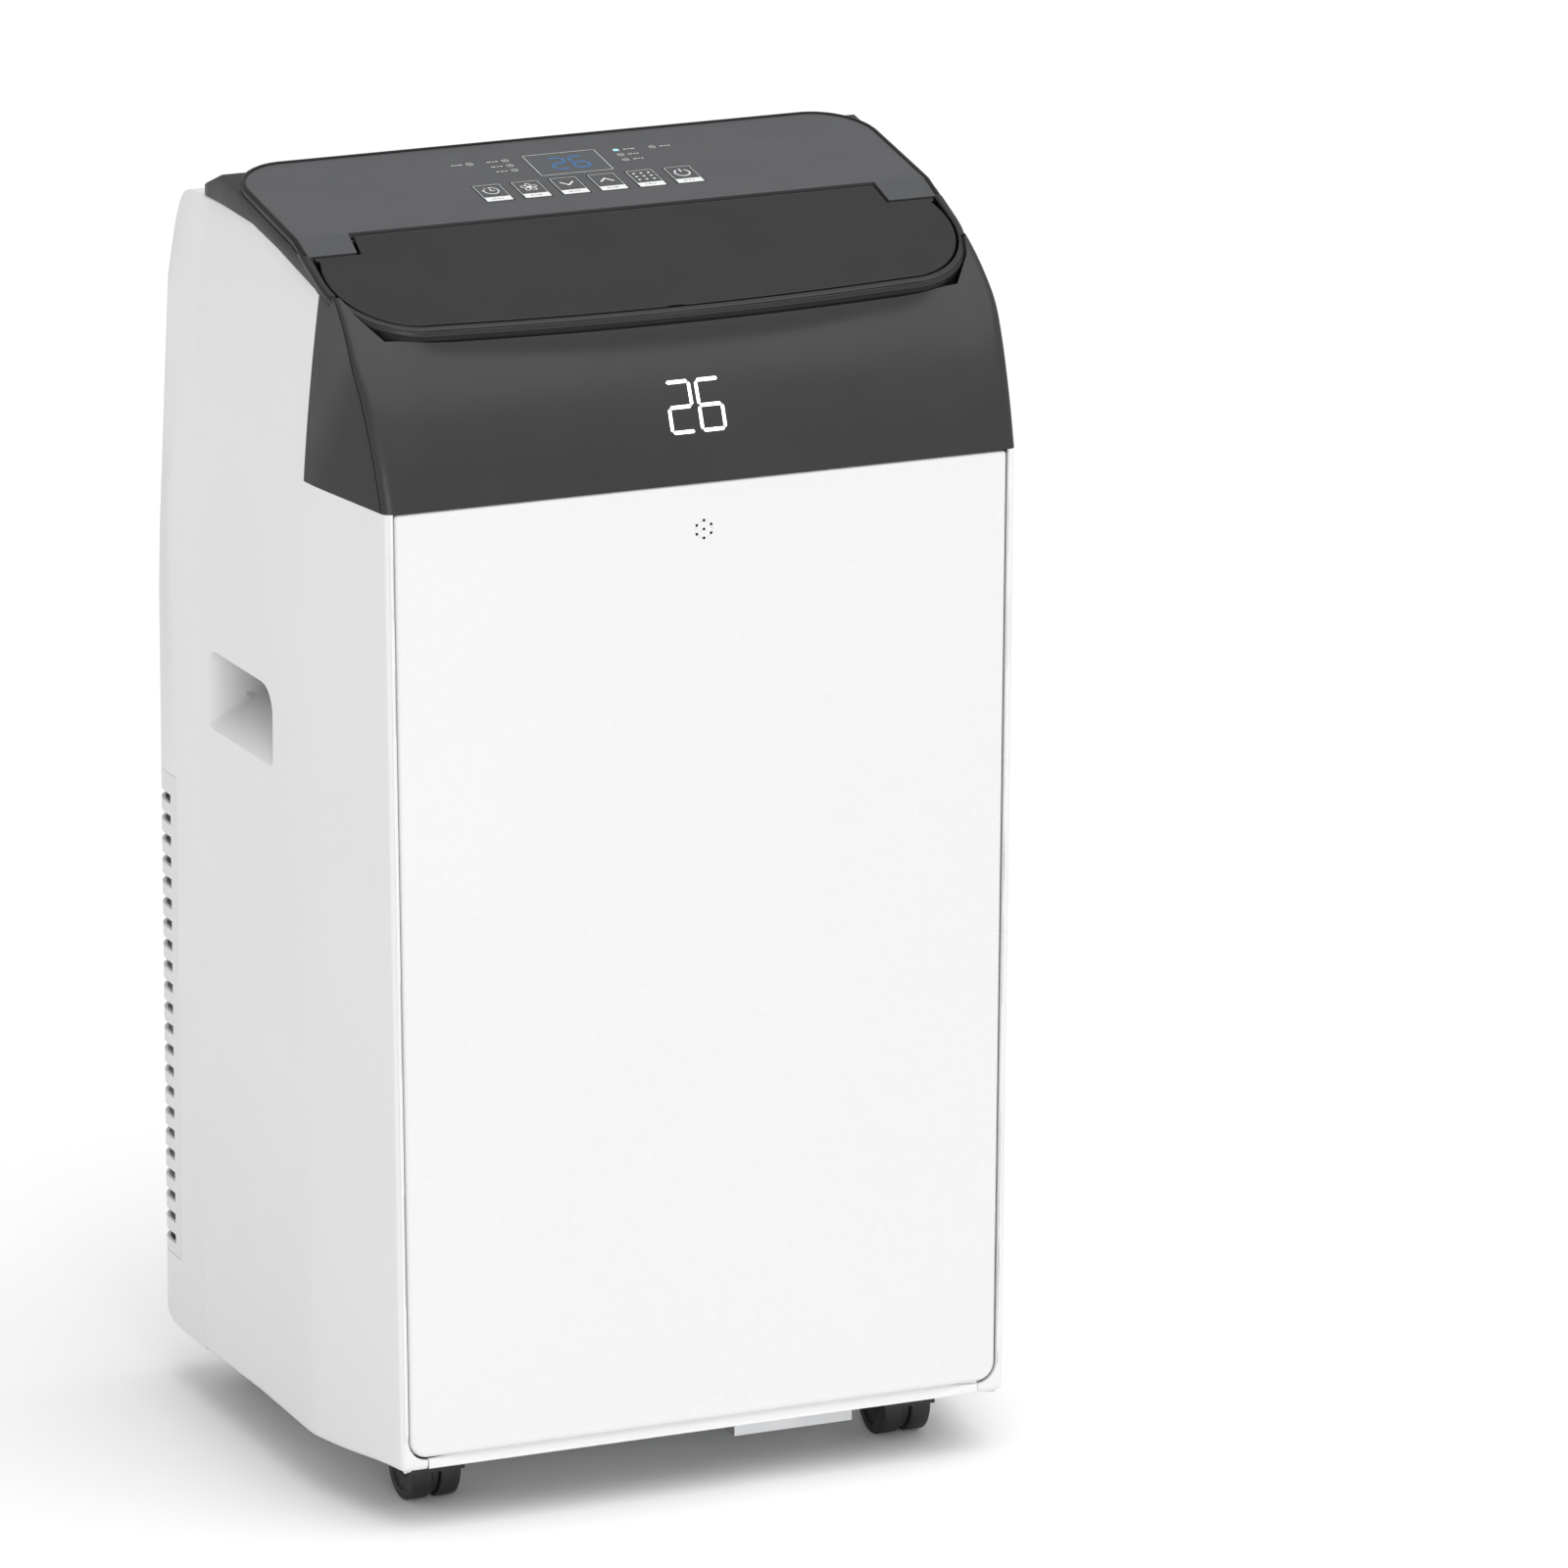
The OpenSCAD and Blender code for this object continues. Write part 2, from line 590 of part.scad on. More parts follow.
module exhaust_duct() color("lightgray") difference() {
    span([-port_w / 2 - duct_wall, port_w / 2 + duct_wall], [condenser_y[0], 174.6],
         [exhaust_z, port_z + port_w / 2 + duct_wall]);
    span([-port_w / 2, port_w / 2], [condenser_y[0] + duct_wall, 200],
         [exhaust_z + duct_wall, port_z + port_w / 2]);
    span([-port_w / 2, port_w / 2], [condenser_y[0] + duct_wall, condenser_y[1] - duct_wall],
         [exhaust_z - 10, exhaust_z + 10]);
}
module motor(axis, y0, y1, r) difference() {
    union() {
        rod_y(r, axis[0], axis[1], y0, y1);
        for (a = [45:90:315]) rod_y(5, axis[0] + (r + 3) * cos(a), axis[1] + (r + 3) * sin(a), y1 - 4, y1);
        rod_y(10, axis[0], axis[1], y1, y1 + 1.5);
    }
    rod_y(shaft_r + pin_gap, axis[0], axis[1], y0 + 6, y1 + 3);
}
module evaporator_motor() color("dimgray") motor(evaporator_axis, -188, duct_y[0], 38);
module condenser_motor() color("dimgray") motor(condenser_axis, -8, condenser_y[0], 42);

// A blower wheel has a back plate on the motor's side, a ring of blades and a front ring
module blower(axis, y0, y1, r, shaft_y) {
    difference() {
        rod_y(r, axis[0], axis[1], y0, y0 + 2.4);
        rod_y(r * 0.3, axis[0], axis[1], y0 - 1, y0);
    }
    difference() {
        rod_y(r, axis[0], axis[1], y1 - 3, y1);
        rod_y(r * 0.84, axis[0], axis[1], y1 - 4, y1 + 1);
    }
    for (i = [0:29]) translate([axis[0], 0, axis[1]]) rotate([0, i * 12, 0]) translate([r * 0.9, 0, 0])
        rotate([0, 35, 0]) span([-r * 0.08, r * 0.08], [y0 + 1, y1 - 1], [-0.8, 0.8]);
    rod_y(14, axis[0], axis[1], y0, y0 + 26);
    rod_y(shaft_r, axis[0], axis[1], shaft_y, y0 + 1);
}
module evaporator_blower() color("black") blower(evaporator_axis, -142, -76, 104, -180);
module condenser_blower() color("black") blower(condenser_axis, 48, 114, 88, 0);

module splash_motor() color("dimgray") motor(splash_axis, 86, 118, 17);
module splash_wheel() color("white") {
    for (i = [0:7]) translate([splash_axis[0], 0, splash_axis[1]]) rotate([0, i * 45, 0])
        span([8, 25], [122, 132], [-1, 1]);
    rod_y(10, splash_axis[0], splash_axis[1], 122, 132);
    rod_y(22, splash_axis[0], splash_axis[1], 122, 124);
    rod_y(shaft_r, splash_axis[0], splash_axis[1], 93, 123);
}

module compressor() color("black") {
    translate([compressor_at[0], compressor_at[1], 72]) {
        cylinder(r = 60, h = 200);
        intersection() {
            translate([0, 0, 200 - 70]) sphere(r = 92.2, $fn = 64);
            cylinder(r = 60, h = 240);
        }
        for (a = [30:120:270]) rotate([0, 0, a]) difference() {
            span([40, stud_r + 12], [-16, 16], [0, 4]);
            translate([stud_r, 0, -1]) cylinder(r = 6, h = 8);
        }
        translate([20, 20, 218]) cylinder(r = 12, h = 8);
    }
    translate([accumulator_at[0], accumulator_at[1], 100]) {
        cylinder(r = 24, h = 130);
        sphere(r = 24);
        translate([0, 0, 130]) sphere(r = 24);
    }
    translate([accumulator_at[0] - 60, accumulator_at[1] + 14, 150]) rotate([0, 90, -12])
        cylinder(r = 7, h = 52);
}
module compressor_mounts() color("black")
    for (p = stud_places) translate([p[0], p[1], 53]) difference() {
        union() {
            cylinder(r = 11, h = 18.8);
            cylinder(r = 5.8, h = 23);
        }
        translate([0, 0, -1]) cylinder(r = 3.1, h = 30);
    }

// A tube through square corners, each of them bent to the radius given
module pipe(points, r, bend) for (i = [0:len(points) - 2]) {
    step = points[i + 1] - points[i];
    ahead = step / norm(step);
    cut = i == 0 ? 0 : bend;
    run = norm(step) - cut - (i == len(points) - 2 ? 0 : bend);
    translate(points[i] + ahead * cut) rotate([0, acos(ahead[2]), atan2(ahead[1], ahead[0])])
        cylinder(r = r, h = run);
    if (i > 0) {
        before = points[i] - points[i - 1];
        elbow(points[i], before / norm(before), ahead, r, bend);
    }
}
// A quarter bend from the direction before the corner to the one after it
module elbow(corner, before, after, r, bend) {
    centre = corner - before * bend + after * bend;
    side = cross(before, after);
    multmatrix([[-after[0], before[0], side[0], centre[0]], [-after[1], before[1], side[1], centre[1]],
                [-after[2], before[2], side[2], centre[2]], [0, 0, 0, 1]])
        rotate_extrude(angle = 90) translate([bend, 0]) circle(r = r);
}
module refrigerant_pipes() color("chocolate") {
    pipe([[-125, -95, 294.3], [-125, -95, 335], [-202, -95, 335], [-202, 155, 335], [-202, 155, 240],
          [-181.6, 155, 240]], 4, 12);
    pipe([[accumulator_at[0], accumulator_at[1], 254], [accumulator_at[0], accumulator_at[1], 372],
          [-206, accumulator_at[1], 372], [-206, 109, 372], [-206, 109, 500], [-171.6, 109, 500]], 5, 14);
    pipe([[-181.6, 155, 110], [-214, 155, 110], [-214, 109, 110], [-214, 109, 540],
          [-171.6, 109, 540]], 2.5, 8);
}

module control_box() color("gainsboro") {
    difference() {
        span([60, 200], [-186, -112], [292, 412]);
        span([62.5, 197.5], [-183.5, -109], [294.5, 409.5]);
    }
    translate([95, -150, 294.5]) cylinder(r = 22, h = 80);
    span([130, 190], [-175, -173.4], [300, 400]);
    span([138, 160], [-173.4, -158], [310, 340]);
    span([166, 184], [-173.4, -162], [350, 385]);
}

module float() color("orange") translate([float_at[0], float_at[1], pan_z + 6.1]) difference() {
    cylinder(r = 12, h = 12);
    translate([0, 0, -1]) cylinder(r = 3.2, h = 20);
}

module cord_gland() color("black") difference() {
    union() {
        rod_y(9, gland_at[0], gland_at[1], 178, 192);
        rod_y(12, gland_at[0], gland_at[1], 192, 196);
    }
    rod_y(4, gland_at[0], gland_at[1], 170, 200);
}
module drain_spout() color("white") difference() {
    union() {
        rod_y(7.6, drain_at[0], drain_at[1], 150, 175.4);
        rod_y(8, drain_at[0], drain_at[1], 175.4, 189);
        rod_y(12, drain_at[0], drain_at[1], 168, 171.6);
    }
    rod_y(5.5, drain_at[0], drain_at[1], 140, 200);
}
module drain_plug() color("dimgray") {
    rod_y(5.2, drain_at[0], drain_at[1], 176, 189.4);
    rod_y(7.4, drain_at[0], drain_at[1], 189.4, 192);
}
module pan_drain_plug() color("dimgray") {
    rod_y(6.2, 0, pan_drain_z, 178, 191.3);
    rod_y(9, 0, pan_drain_z, 191.3, 194.6);
}

// Casters: a hooded fork that swivels on its stem, and two wheels on one axle
module caster_fork(x, y) color("black") translate([x, y, 0]) difference() {
    union() {
        difference() {
            union() {
                translate([0, 0, wheel_z + 10]) cylinder(r = stem_r, h = stem_top - wheel_z - 10);
                intersection() {
                    rod_x(wheel_d / 2 + 3.4, caster_trail, wheel_z, -18, 18);
                    span([-20, 20], [-30, 40], [wheel_z + 2, 60]);
                }
            }
            rod_x(wheel_d / 2 + 1, caster_trail, wheel_z, -19, 19);
        }
        rod_x(19, caster_trail, wheel_z, -2.2, 2.2);
        span([-2.2, 2.2], [caster_trail - 10, caster_trail + 10], [wheel_z, wheel_z + wheel_d / 2 + 2]);
    }
    rod_x(axle_r + pin_gap, caster_trail, wheel_z, -10, 10);
}
module caster_wheels(x, y) color("black") translate([x, y + caster_trail, wheel_z]) {
    both_sides() rotate([0, 90, 0]) rotate_extrude() polygon([
        [0, 3], [14, 3], [wheel_d / 2 - 1, 3], [wheel_d / 2, 4], [wheel_d / 2, 16], [wheel_d / 2 - 1.5, 17],
        [15, 17], [14, 15.5], [6, 15.5], [5, 17], [0, 17]
    ]);
    rod_x(axle_r, 0, 0, -4, 4);
}
module caster_fork_fl() caster_fork(-caster_x, -caster_y);
module caster_fork_fr() caster_fork(caster_x, -caster_y);
module caster_fork_rl() caster_fork(-rear_caster_x, caster_y);
module caster_fork_rr() caster_fork(rear_caster_x, caster_y);
module caster_wheels_fl() caster_wheels(-caster_x, -caster_y);
module caster_wheels_fr() caster_wheels(caster_x, -caster_y);
module caster_wheels_rl() caster_wheels(-rear_caster_x, caster_y);
module caster_wheels_rr() caster_wheels(rear_caster_x, caster_y);

base_pan();
left_side_panel();
right_side_panel();
rear_panel();
lower_rear_grille();
front_panel();
front_sill();
upper_front_cover();
top_cover();
control_plate();
panel_display();
control_board();
front_display();
flap();
vane_1();
vane_2();
vane_3();
vane_4();
vane_5();
vane_link();
outlet_duct();
key_timer();
key_fan();
key_down();
key_up();
key_mode();
key_power();
filter_cassette();
exhaust_port();
mid_deck();
drip_tray();
evaporator_coil();
condenser_coil();
evaporator_scroll();
condenser_scroll();
exhaust_duct();
evaporator_motor();
condenser_motor();
evaporator_blower();
condenser_blower();
compressor();
compressor_mounts();
refrigerant_pipes();
splash_motor();
splash_wheel();
control_box();
float();
cord_gland();
drain_spout();
drain_plug();
pan_drain_plug();
screws();
caster_fork_fl();
caster_fork_fr();
caster_fork_rl();
caster_fork_rr();
caster_wheels_fl();
caster_wheels_fr();
caster_wheels_rl();
caster_wheels_rr();
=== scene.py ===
"""Looks for the portable air conditioner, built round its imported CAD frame.

Everything is in metres in the row frame: the front faces -Y and the floor is at Z 0.
Lengths in the tables below are in millimetres, as in the CAD source.
"""

import math
import random

import bmesh
import bpy
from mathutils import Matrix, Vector


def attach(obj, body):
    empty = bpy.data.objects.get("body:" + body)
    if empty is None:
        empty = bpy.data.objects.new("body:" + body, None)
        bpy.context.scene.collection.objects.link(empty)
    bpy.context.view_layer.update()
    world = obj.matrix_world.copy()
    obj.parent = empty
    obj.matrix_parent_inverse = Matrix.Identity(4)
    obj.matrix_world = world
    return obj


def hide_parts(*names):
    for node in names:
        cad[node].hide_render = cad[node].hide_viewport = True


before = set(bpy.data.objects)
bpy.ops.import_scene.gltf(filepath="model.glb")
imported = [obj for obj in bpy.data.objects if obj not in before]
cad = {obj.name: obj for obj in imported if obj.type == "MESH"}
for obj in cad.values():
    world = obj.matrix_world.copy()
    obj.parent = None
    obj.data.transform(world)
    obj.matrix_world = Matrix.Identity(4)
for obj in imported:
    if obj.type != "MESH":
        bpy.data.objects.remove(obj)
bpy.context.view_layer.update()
rng = random.Random(26)
MM = 0.001

# -------------------- camera, light and floor
scene = bpy.context.scene
scene.view_settings.view_transform = "Standard"
camera = bpy.data.objects.new("camera", bpy.data.cameras.new("camera"))
scene.collection.objects.link(camera)
camera.location = (-3.3293, -7.6046, 2.6387)
camera.rotation_euler = (math.pi / 2 - 0.26033, 0, -0.42880)
camera.data.lens = 301.43
camera.data.sensor_width = 36
camera.data.clip_start, camera.data.clip_end = 0.1, 100
scene.camera = camera


def lamp(name, kind, power):
    made = bpy.data.objects.new(name, bpy.data.lights.new(name, kind))
    scene.collection.objects.link(made)
    made.data.energy = power
    return made


KEY_PLACE, KEY_AIM = Vector((-1.3, -5.0, 1.3)), Vector((0, 0, 0.45))
key_light = lamp("key", "AREA", 50)
key_light.data.shape = "RECTANGLE"
key_light.data.size = key_light.data.size_y = 1.6
key_light.location = KEY_PLACE
key_light.rotation_euler = (KEY_AIM - KEY_PLACE).to_track_quat("-Z", "Y").to_euler()

sun = lamp("ceiling", "SUN", 1.6)
sun.data.angle = math.radians(70)
sun.rotation_euler = (math.radians(20), math.radians(12), 0)

world = bpy.data.worlds.new("studio")
scene.world = world
world.use_nodes = True
backdrop = world.node_tree.nodes["Background"]
backdrop.inputs["Color"].default_value = (1, 1, 1, 1)
backdrop.inputs["Strength"].default_value = 0.68


# -------------------- materials
def finish(name, colour, rough=0.4, tint=0.03, cloud=9, grain=1500, grain_height=0.02, rough_swing=0.05,
           metal=0.0, specular=0.5, glow=None, pattern=None, painted_shade=None):
    """A moulded, painted or metal finish: a cloudy tint, a fine grain and a roughness that drifts.
    grain_height is in millimetres. pattern(nodes, links, coords) returns a height that is added to the grain.
    painted_shade is a colour of painted shade that takes over away from the sides, with the two half widths
    between which it grows."""
    made = bpy.data.materials.new(name)
    made.use_nodes = True
    nodes, links = made.node_tree.nodes, made.node_tree.links
    shader = nodes["Principled BSDF"]
    coords = nodes.new("ShaderNodeTexCoord").outputs["Object"]

    def noise(scale, detail=3):
        n = nodes.new("ShaderNodeTexNoise")
        n.inputs["Scale"].default_value = scale
        n.inputs["Detail"].default_value = detail
        links.new(coords, n.inputs["Vector"])
        return n.outputs["Fac"]

    def spread(source, low, high):
        """The middle of a noise, stretched from low to high."""
        m = nodes.new("ShaderNodeMapRange")
        m.inputs["From Min"].default_value, m.inputs["From Max"].default_value = 0.3, 0.7
        m.inputs["To Min"].default_value, m.inputs["To Max"].default_value = low, high
        links.new(source, m.inputs["Value"])
        return m.outputs["Result"]

    tinted = nodes.new("ShaderNodeMix")
    tinted.data_type = "RGBA"
    tinted.inputs[6].default_value = (*[c * (1 - tint) for c in colour], 1)
    tinted.inputs[7].default_value = (*[min(1, c * (1 + tint)) for c in colour], 1)
    links.new(spread(noise(cloud), 0, 1), tinted.inputs[0])
    base = tinted.outputs[2]
    # Painted shade: the colour darkens towards the middle of the casing, away from its sides
    if painted_shade:
        painted_shade_colour, outer, inner = painted_shade
        split = nodes.new("ShaderNodeSeparateXYZ")
        links.new(coords, split.inputs[0])
        width = nodes.new("ShaderNodeMath")
        width.operation = "ABSOLUTE"
        links.new(split.outputs[0], width.inputs[0])
        grow = nodes.new("ShaderNodeMapRange")
        grow.inputs["From Min"].default_value, grow.inputs["From Max"].default_value = outer, inner
        links.new(width.outputs[0], grow.inputs["Value"])
        shade = nodes.new("ShaderNodeMix")
        shade.data_type = "RGBA"
        shade.inputs[7].default_value = (*painted_shade_colour, 1)
        links.new(base, shade.inputs[6])
        links.new(grow.outputs["Result"], shade.inputs[0])
        base = shade.outputs[2]
    links.new(base, shader.inputs["Base Color"])
    drift = spread(noise(cloud * 4), max(0.02, rough - rough_swing), rough + rough_swing)
    links.new(drift, shader.inputs["Roughness"])
    shader.inputs["Metallic"].default_value = metal
    shader.inputs["Specular IOR Level"].default_value = specular
    if glow:
        *glow_colour, glow_power = glow
        shader.inputs["Emission Color"].default_value = (*glow_colour, 1)
        shader.inputs["Emission Strength"].default_value = glow_power
    bump = nodes.new("ShaderNodeBump")
    bump.inputs["Strength"].default_value = 0.35
    bump.inputs["Distance"].default_value = grain_height * MM
    height = noise(grain, 4)
    if pattern:
        add = nodes.new("ShaderNodeMath")
        add.operation = "ADD"
        links.new(height, add.inputs[0])
        links.new(pattern(nodes, links, coords), add.inputs[1])
        height = add.outputs[0]
    links.new(height, bump.inputs["Height"])
    links.new(bump.outputs["Normal"], shader.inputs["Normal"])
    return made


def stripes(axis, per_metre):
    """Fine parallel fins across an axis, as a height that goes up and down."""
    def made(nodes, links, coords):
        split = nodes.new("ShaderNodeSeparateXYZ")
        links.new(coords, split.inputs[0])

        def step(source, operation, value):
            n = nodes.new("ShaderNodeMath")
            n.operation = operation
            n.inputs[1].default_value = value
            links.new(source, n.inputs[0])
            return n.outputs[0]

        scaled = step(split.outputs[axis], "MULTIPLY", per_metre)
        return step(step(scaled, "PINGPONG", 0.5), "MULTIPLY", 4.0)
    return made


WHITE = finish("white_plastic", (0.735, 0.735, 0.74), 0.36, 0.012, 5, 1700, 0.016, 0.05)
PANEL = finish("panel_plastic", (0.715, 0.715, 0.717), 0.26, 0.006, 4, 1900, 0.008, 0.04)
SILL = finish("sill_plastic", (0.74, 0.74, 0.745), 0.34, 0.012, 5, 1700, 0.014, 0.05)
# Handle recess: the white plastic with painted shade that darkens it deeper into the recess
RECESS_PAINTED_SHADE = finish("recess_plastic_painted_shade", (0.735, 0.735, 0.74), 0.45, 0.012, 5, 1700, 0.016, 0.05,
                painted_shade=((0.20, 0.20, 0.205), 0.2322, 0.203))
GRILLE = finish("grille_plastic", (0.71, 0.71, 0.715), 0.42, 0.015, 6, 1500, 0.02, 0.05)
BAND = finish("smoked_cover", (0.030, 0.030, 0.031), 0.30, 0.05, 5, 1900, 0.008, 0.05, specular=0.3)
# The cover's cheeks: a darker copy of the smoked cover's finish, as painted shade on its sides
CHEEK_PAINTED_SHADE = finish("cover_side_painted_shade", (0.015, 0.015, 0.016), 0.30, 0.05, 5, 1900, 0.008, 0.05, specular=0.15)
# The top cover's black plastic, also used as painted shade in the front cover's groove
RIM_AND_GROOVE_SHADE = finish("top_cover_plastic_and_groove_shade", (0.010, 0.010, 0.011), 0.38, 0.05, 6, 1500, 0.014, 0.05, specular=0.2)
BEAD_BLACK = finish("rim_bead_plastic", (0.022, 0.022, 0.023), 0.30, 0.05, 6, 1500, 0.010, 0.05, specular=0.3)
PLATE = finish("control_plate_plastic", (0.066, 0.068, 0.071), 0.42, 0.03, 7, 1500, 0.012, 0.05, specular=0.3)
FLAP = finish("flap_plastic", (0.014, 0.014, 0.015), 0.32, 0.04, 6, 1700, 0.010, 0.05, specular=0.3)
# Near-black inside the front panel's holes: painted shade on their walls and floors
HOLE_SHADE = finish("hole_painted_shade", (0.012, 0.014, 0.018), 0.16, 0.05, 8, 1500, 0.004, 0.03, specular=0.4)
LENS = finish("display_lens", (0.058, 0.061, 0.066), 0.26, 0.03, 8, 1500, 0.004, 0.03, specular=0.3)
KEY = finish("key_plastic", (0.062, 0.064, 0.067), 0.40, 0.03, 7, 1500, 0.010, 0.04, specular=0.3)
PRINT = finish("white_print", (0.80, 0.81, 0.82), 0.45, 0.02, 20, 2500, 0.006, 0.05)
BOARD = finish("circuit_board", (0.02, 0.13, 0.05), 0.45, 0.12, 60, 900, 0.03, 0.08)
VANE = finish("vane_plastic", (0.14, 0.14, 0.145), 0.42, 0.04, 9, 1400, 0.02, 0.06)
DUCT = finish("duct_plastic", (0.10, 0.10, 0.105), 0.5, 0.05, 9, 1200, 0.03, 0.06)
FOAM = finish("insulated_plastic", (0.72, 0.72, 0.70), 0.62, 0.05, 12, 500, 0.08, 0.08)
ZINC = finish("galvanised_steel", (0.55, 0.56, 0.57), 0.38, 0.12, 30, 700, 0.02, 0.12, metal=1.0)
FINS = finish("aluminium_fins", (0.62, 0.63, 0.64), 0.34, 0.08, 12, 900, 0.12, 0.08, metal=1.0,
              pattern=stripes(0, 550))
COPPER = finish("copper_tube", (0.62, 0.30, 0.19), 0.30, 0.14, 26, 800, 0.02, 0.10, metal=1.0)
ENAMEL = finish("black_enamel", (0.018, 0.018, 0.02), 0.34, 0.10, 16, 900, 0.03, 0.08)
RUBBER = finish("rubber", (0.02, 0.02, 0.021), 0.7, 0.10, 30, 1200, 0.05, 0.08)
FAN = finish("fan_plastic", (0.05, 0.05, 0.052), 0.45, 0.06, 10, 1300, 0.02, 0.06)
MOTOR = finish("motor_steel", (0.40, 0.41, 0.42), 0.36, 0.10, 22, 700, 0.02, 0.10, metal=1.0)
FLOAT = finish("float_foam", (0.80, 0.26, 0.04), 0.66, 0.08, 40, 420, 0.10, 0.08)
NYLON = finish("caster_nylon", (0.010, 0.010, 0.011), 0.36, 0.10, 20, 1100, 0.02, 0.06)
TREAD = finish("caster_tread", (0.014, 0.014, 0.015), 0.52, 0.12, 30, 900, 0.04, 0.08)
STEEL = finish("screw_steel", (0.60, 0.60, 0.61), 0.28, 0.08, 60, 1500, 0.01, 0.08, metal=1.0)
MESH = finish("filter_mesh_thread", (0.30, 0.31, 0.33), 0.6, 0.08, 30, 900, 0.03, 0.08)
FLOOR = finish("floor_paper", (0.94, 0.94, 0.94), 0.75, 0.006, 1.2, 60, 0.05, 0.03)


# -------------------- carried-over CAD nodes
SHARP = math.radians(35)
CASTERS = ("fl", "fr", "rl", "rr")


def keep(material, *names, edge):
    """Gives CAD nodes their finish and softens their edges; their own meshes stay as they are."""
    for name in names:
        node = cad[name]
        node.data.materials.clear()
        node.data.materials.append(material)
        for face in node.data.polygons:
            face.use_smooth = True
        weld = node.modifiers.new("weld", "WELD")
        weld.merge_threshold = 0.01 * MM
        if edge:
            soft = node.modifiers.new("edges", "BEVEL")
            soft.width = edge * MM
            soft.segments = 2
            soft.limit_method = "ANGLE"
            soft.angle_limit = SHARP
            soft.use_clamp_overlap = True
        split = node.modifiers.new("split", "EDGE_SPLIT")
        split.split_angle = SHARP


keep(WHITE, "rear_panel", edge=1.2)
keep(GRILLE, "lower_rear_grille", edge=0.6)
keep(RIM_AND_GROOVE_SHADE, "top_cover", edge=1.0)
keep(BOARD, "control_board", edge=0.1)
keep(VANE, *[f"vane_{i}" for i in range(1, 6)], edge=0.3)
keep(FAN, "vane_link", "evaporator_blower", "condenser_blower", "splash_wheel", edge=0)
keep(DUCT, "outlet_duct", edge=0.4)
keep(GRILLE, "filter_cassette", edge=0.5)
keep(WHITE, "exhaust_port", "drain_spout", edge=0.6)
keep(FOAM, "evaporator_scroll", "condenser_scroll", "exhaust_duct", "mid_deck", "drip_tray", edge=0)
keep(ZINC, "base_pan", "control_box", edge=0)
keep(MOTOR, "evaporator_motor", "condenser_motor", "splash_motor", edge=0)
keep(ENAMEL, "compressor", edge=0)
keep(RUBBER, "compressor_mounts", "cord_gland", "drain_plug", "pan_drain_plug", edge=0.4)
keep(COPPER, "refrigerant_pipes", edge=0)
keep(FLOAT, "float", edge=0.5)
keep(STEEL, "screws", edge=0.15)
keep(NYLON, *[f"caster_fork_{place}" for place in CASTERS], edge=1.0)
keep(TREAD, *[f"caster_wheels_{place}" for place in CASTERS], edge=1.2)


# -------------------- mesh helpers
def piece(name, verts, faces, material, body="root", stands_for=(), slot=None, thick=0, edge=0, angle=40,
          segments=2, extra=None, flat=False):
    """A named piece from points in millimetres. thick gives its sheet a wall behind it, edge rounds it,
    flat turns smooth shading off, and extra lists (face indices, material)."""
    mesh = bpy.data.meshes.new(name)
    mesh.from_pydata([(x * MM, y * MM, z * MM) for x, y, z in verts], [], faces)
    mesh.materials.append(material)
    for indices, other in extra or []:
        mesh.materials.append(other)
        for i in indices:
            mesh.polygons[i].material_index = len(mesh.materials) - 1
    work = bmesh.new()
    work.from_mesh(mesh)
    bmesh.ops.remove_doubles(work, verts=work.verts, dist=0.001 * MM)
    bmesh.ops.dissolve_degenerate(work, edges=work.edges, dist=0.0005 * MM)
    work.to_mesh(mesh)
    work.free()
    for face in mesh.polygons:
        face.use_smooth = not flat
    made = bpy.data.objects.new(name, mesh)
    scene.collection.objects.link(made)
    if thick:
        shell = made.modifiers.new("wall", "SOLIDIFY")
        shell.thickness = thick * MM
        shell.offset = -1
    if edge:
        soft = made.modifiers.new("edges", "BEVEL")
        soft.width = edge * MM
        soft.segments = segments
        soft.limit_method = "ANGLE"
        soft.angle_limit = math.radians(angle)
    if not flat:
        normals = made.modifiers.new("normals", "WEIGHTED_NORMAL")
        normals.weight = 60
    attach(made, body)
    if stands_for:
        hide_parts(*stands_for)
    return made


def lattice(rows, skip=None, closed=False, start=0, flip=False):
    """Points and quads of a grid of rows, numbered from start. closed joins the ends of each row,
    skip(row, column) leaves a cell out and flip turns the faces over."""
    count = len(rows[0])
    faces = []
    for i in range(len(rows) - 1):
        for j in range(count if closed else count - 1):
            if skip and skip(i, j):
                continue
            k = (j + 1) % count
            here, after = start + i * count, start + (i + 1) * count
            quad = (here + j, here + k, after + k, after + j)
            faces.append(quad[::-1] if flip else quad)
    return [p for row in rows for p in row], faces


def join(*parts):
    """Several (points, faces) as one."""
    verts, faces = [], []
    for more, quads in parts:
        start = len(verts)
        verts += more
        faces += [tuple(start + i for i in f) for f in quads]
    return verts, faces


def sin(degrees):
    return math.sin(math.radians(degrees))


def cos(degrees):
    return math.cos(math.radians(degrees))


def tan(degrees):
    return math.tan(math.radians(degrees))


def arc(cx, cy, r, a0, a1, n):
    """Points of an arc from one angle to another, in n steps."""
    angles = [a0 + (a1 - a0) * i / n for i in range(n + 1)]
    return [(cx + r * cos(a), cy + r * sin(a)) for a in angles]


def mirrored(half):
    """Both halves of an outline, from its half with X above 0."""
    return half + [(-x, y) for x, y in reversed(half)]


def other_side(points):
    return [(-x, y, z) for x, y, z in points]


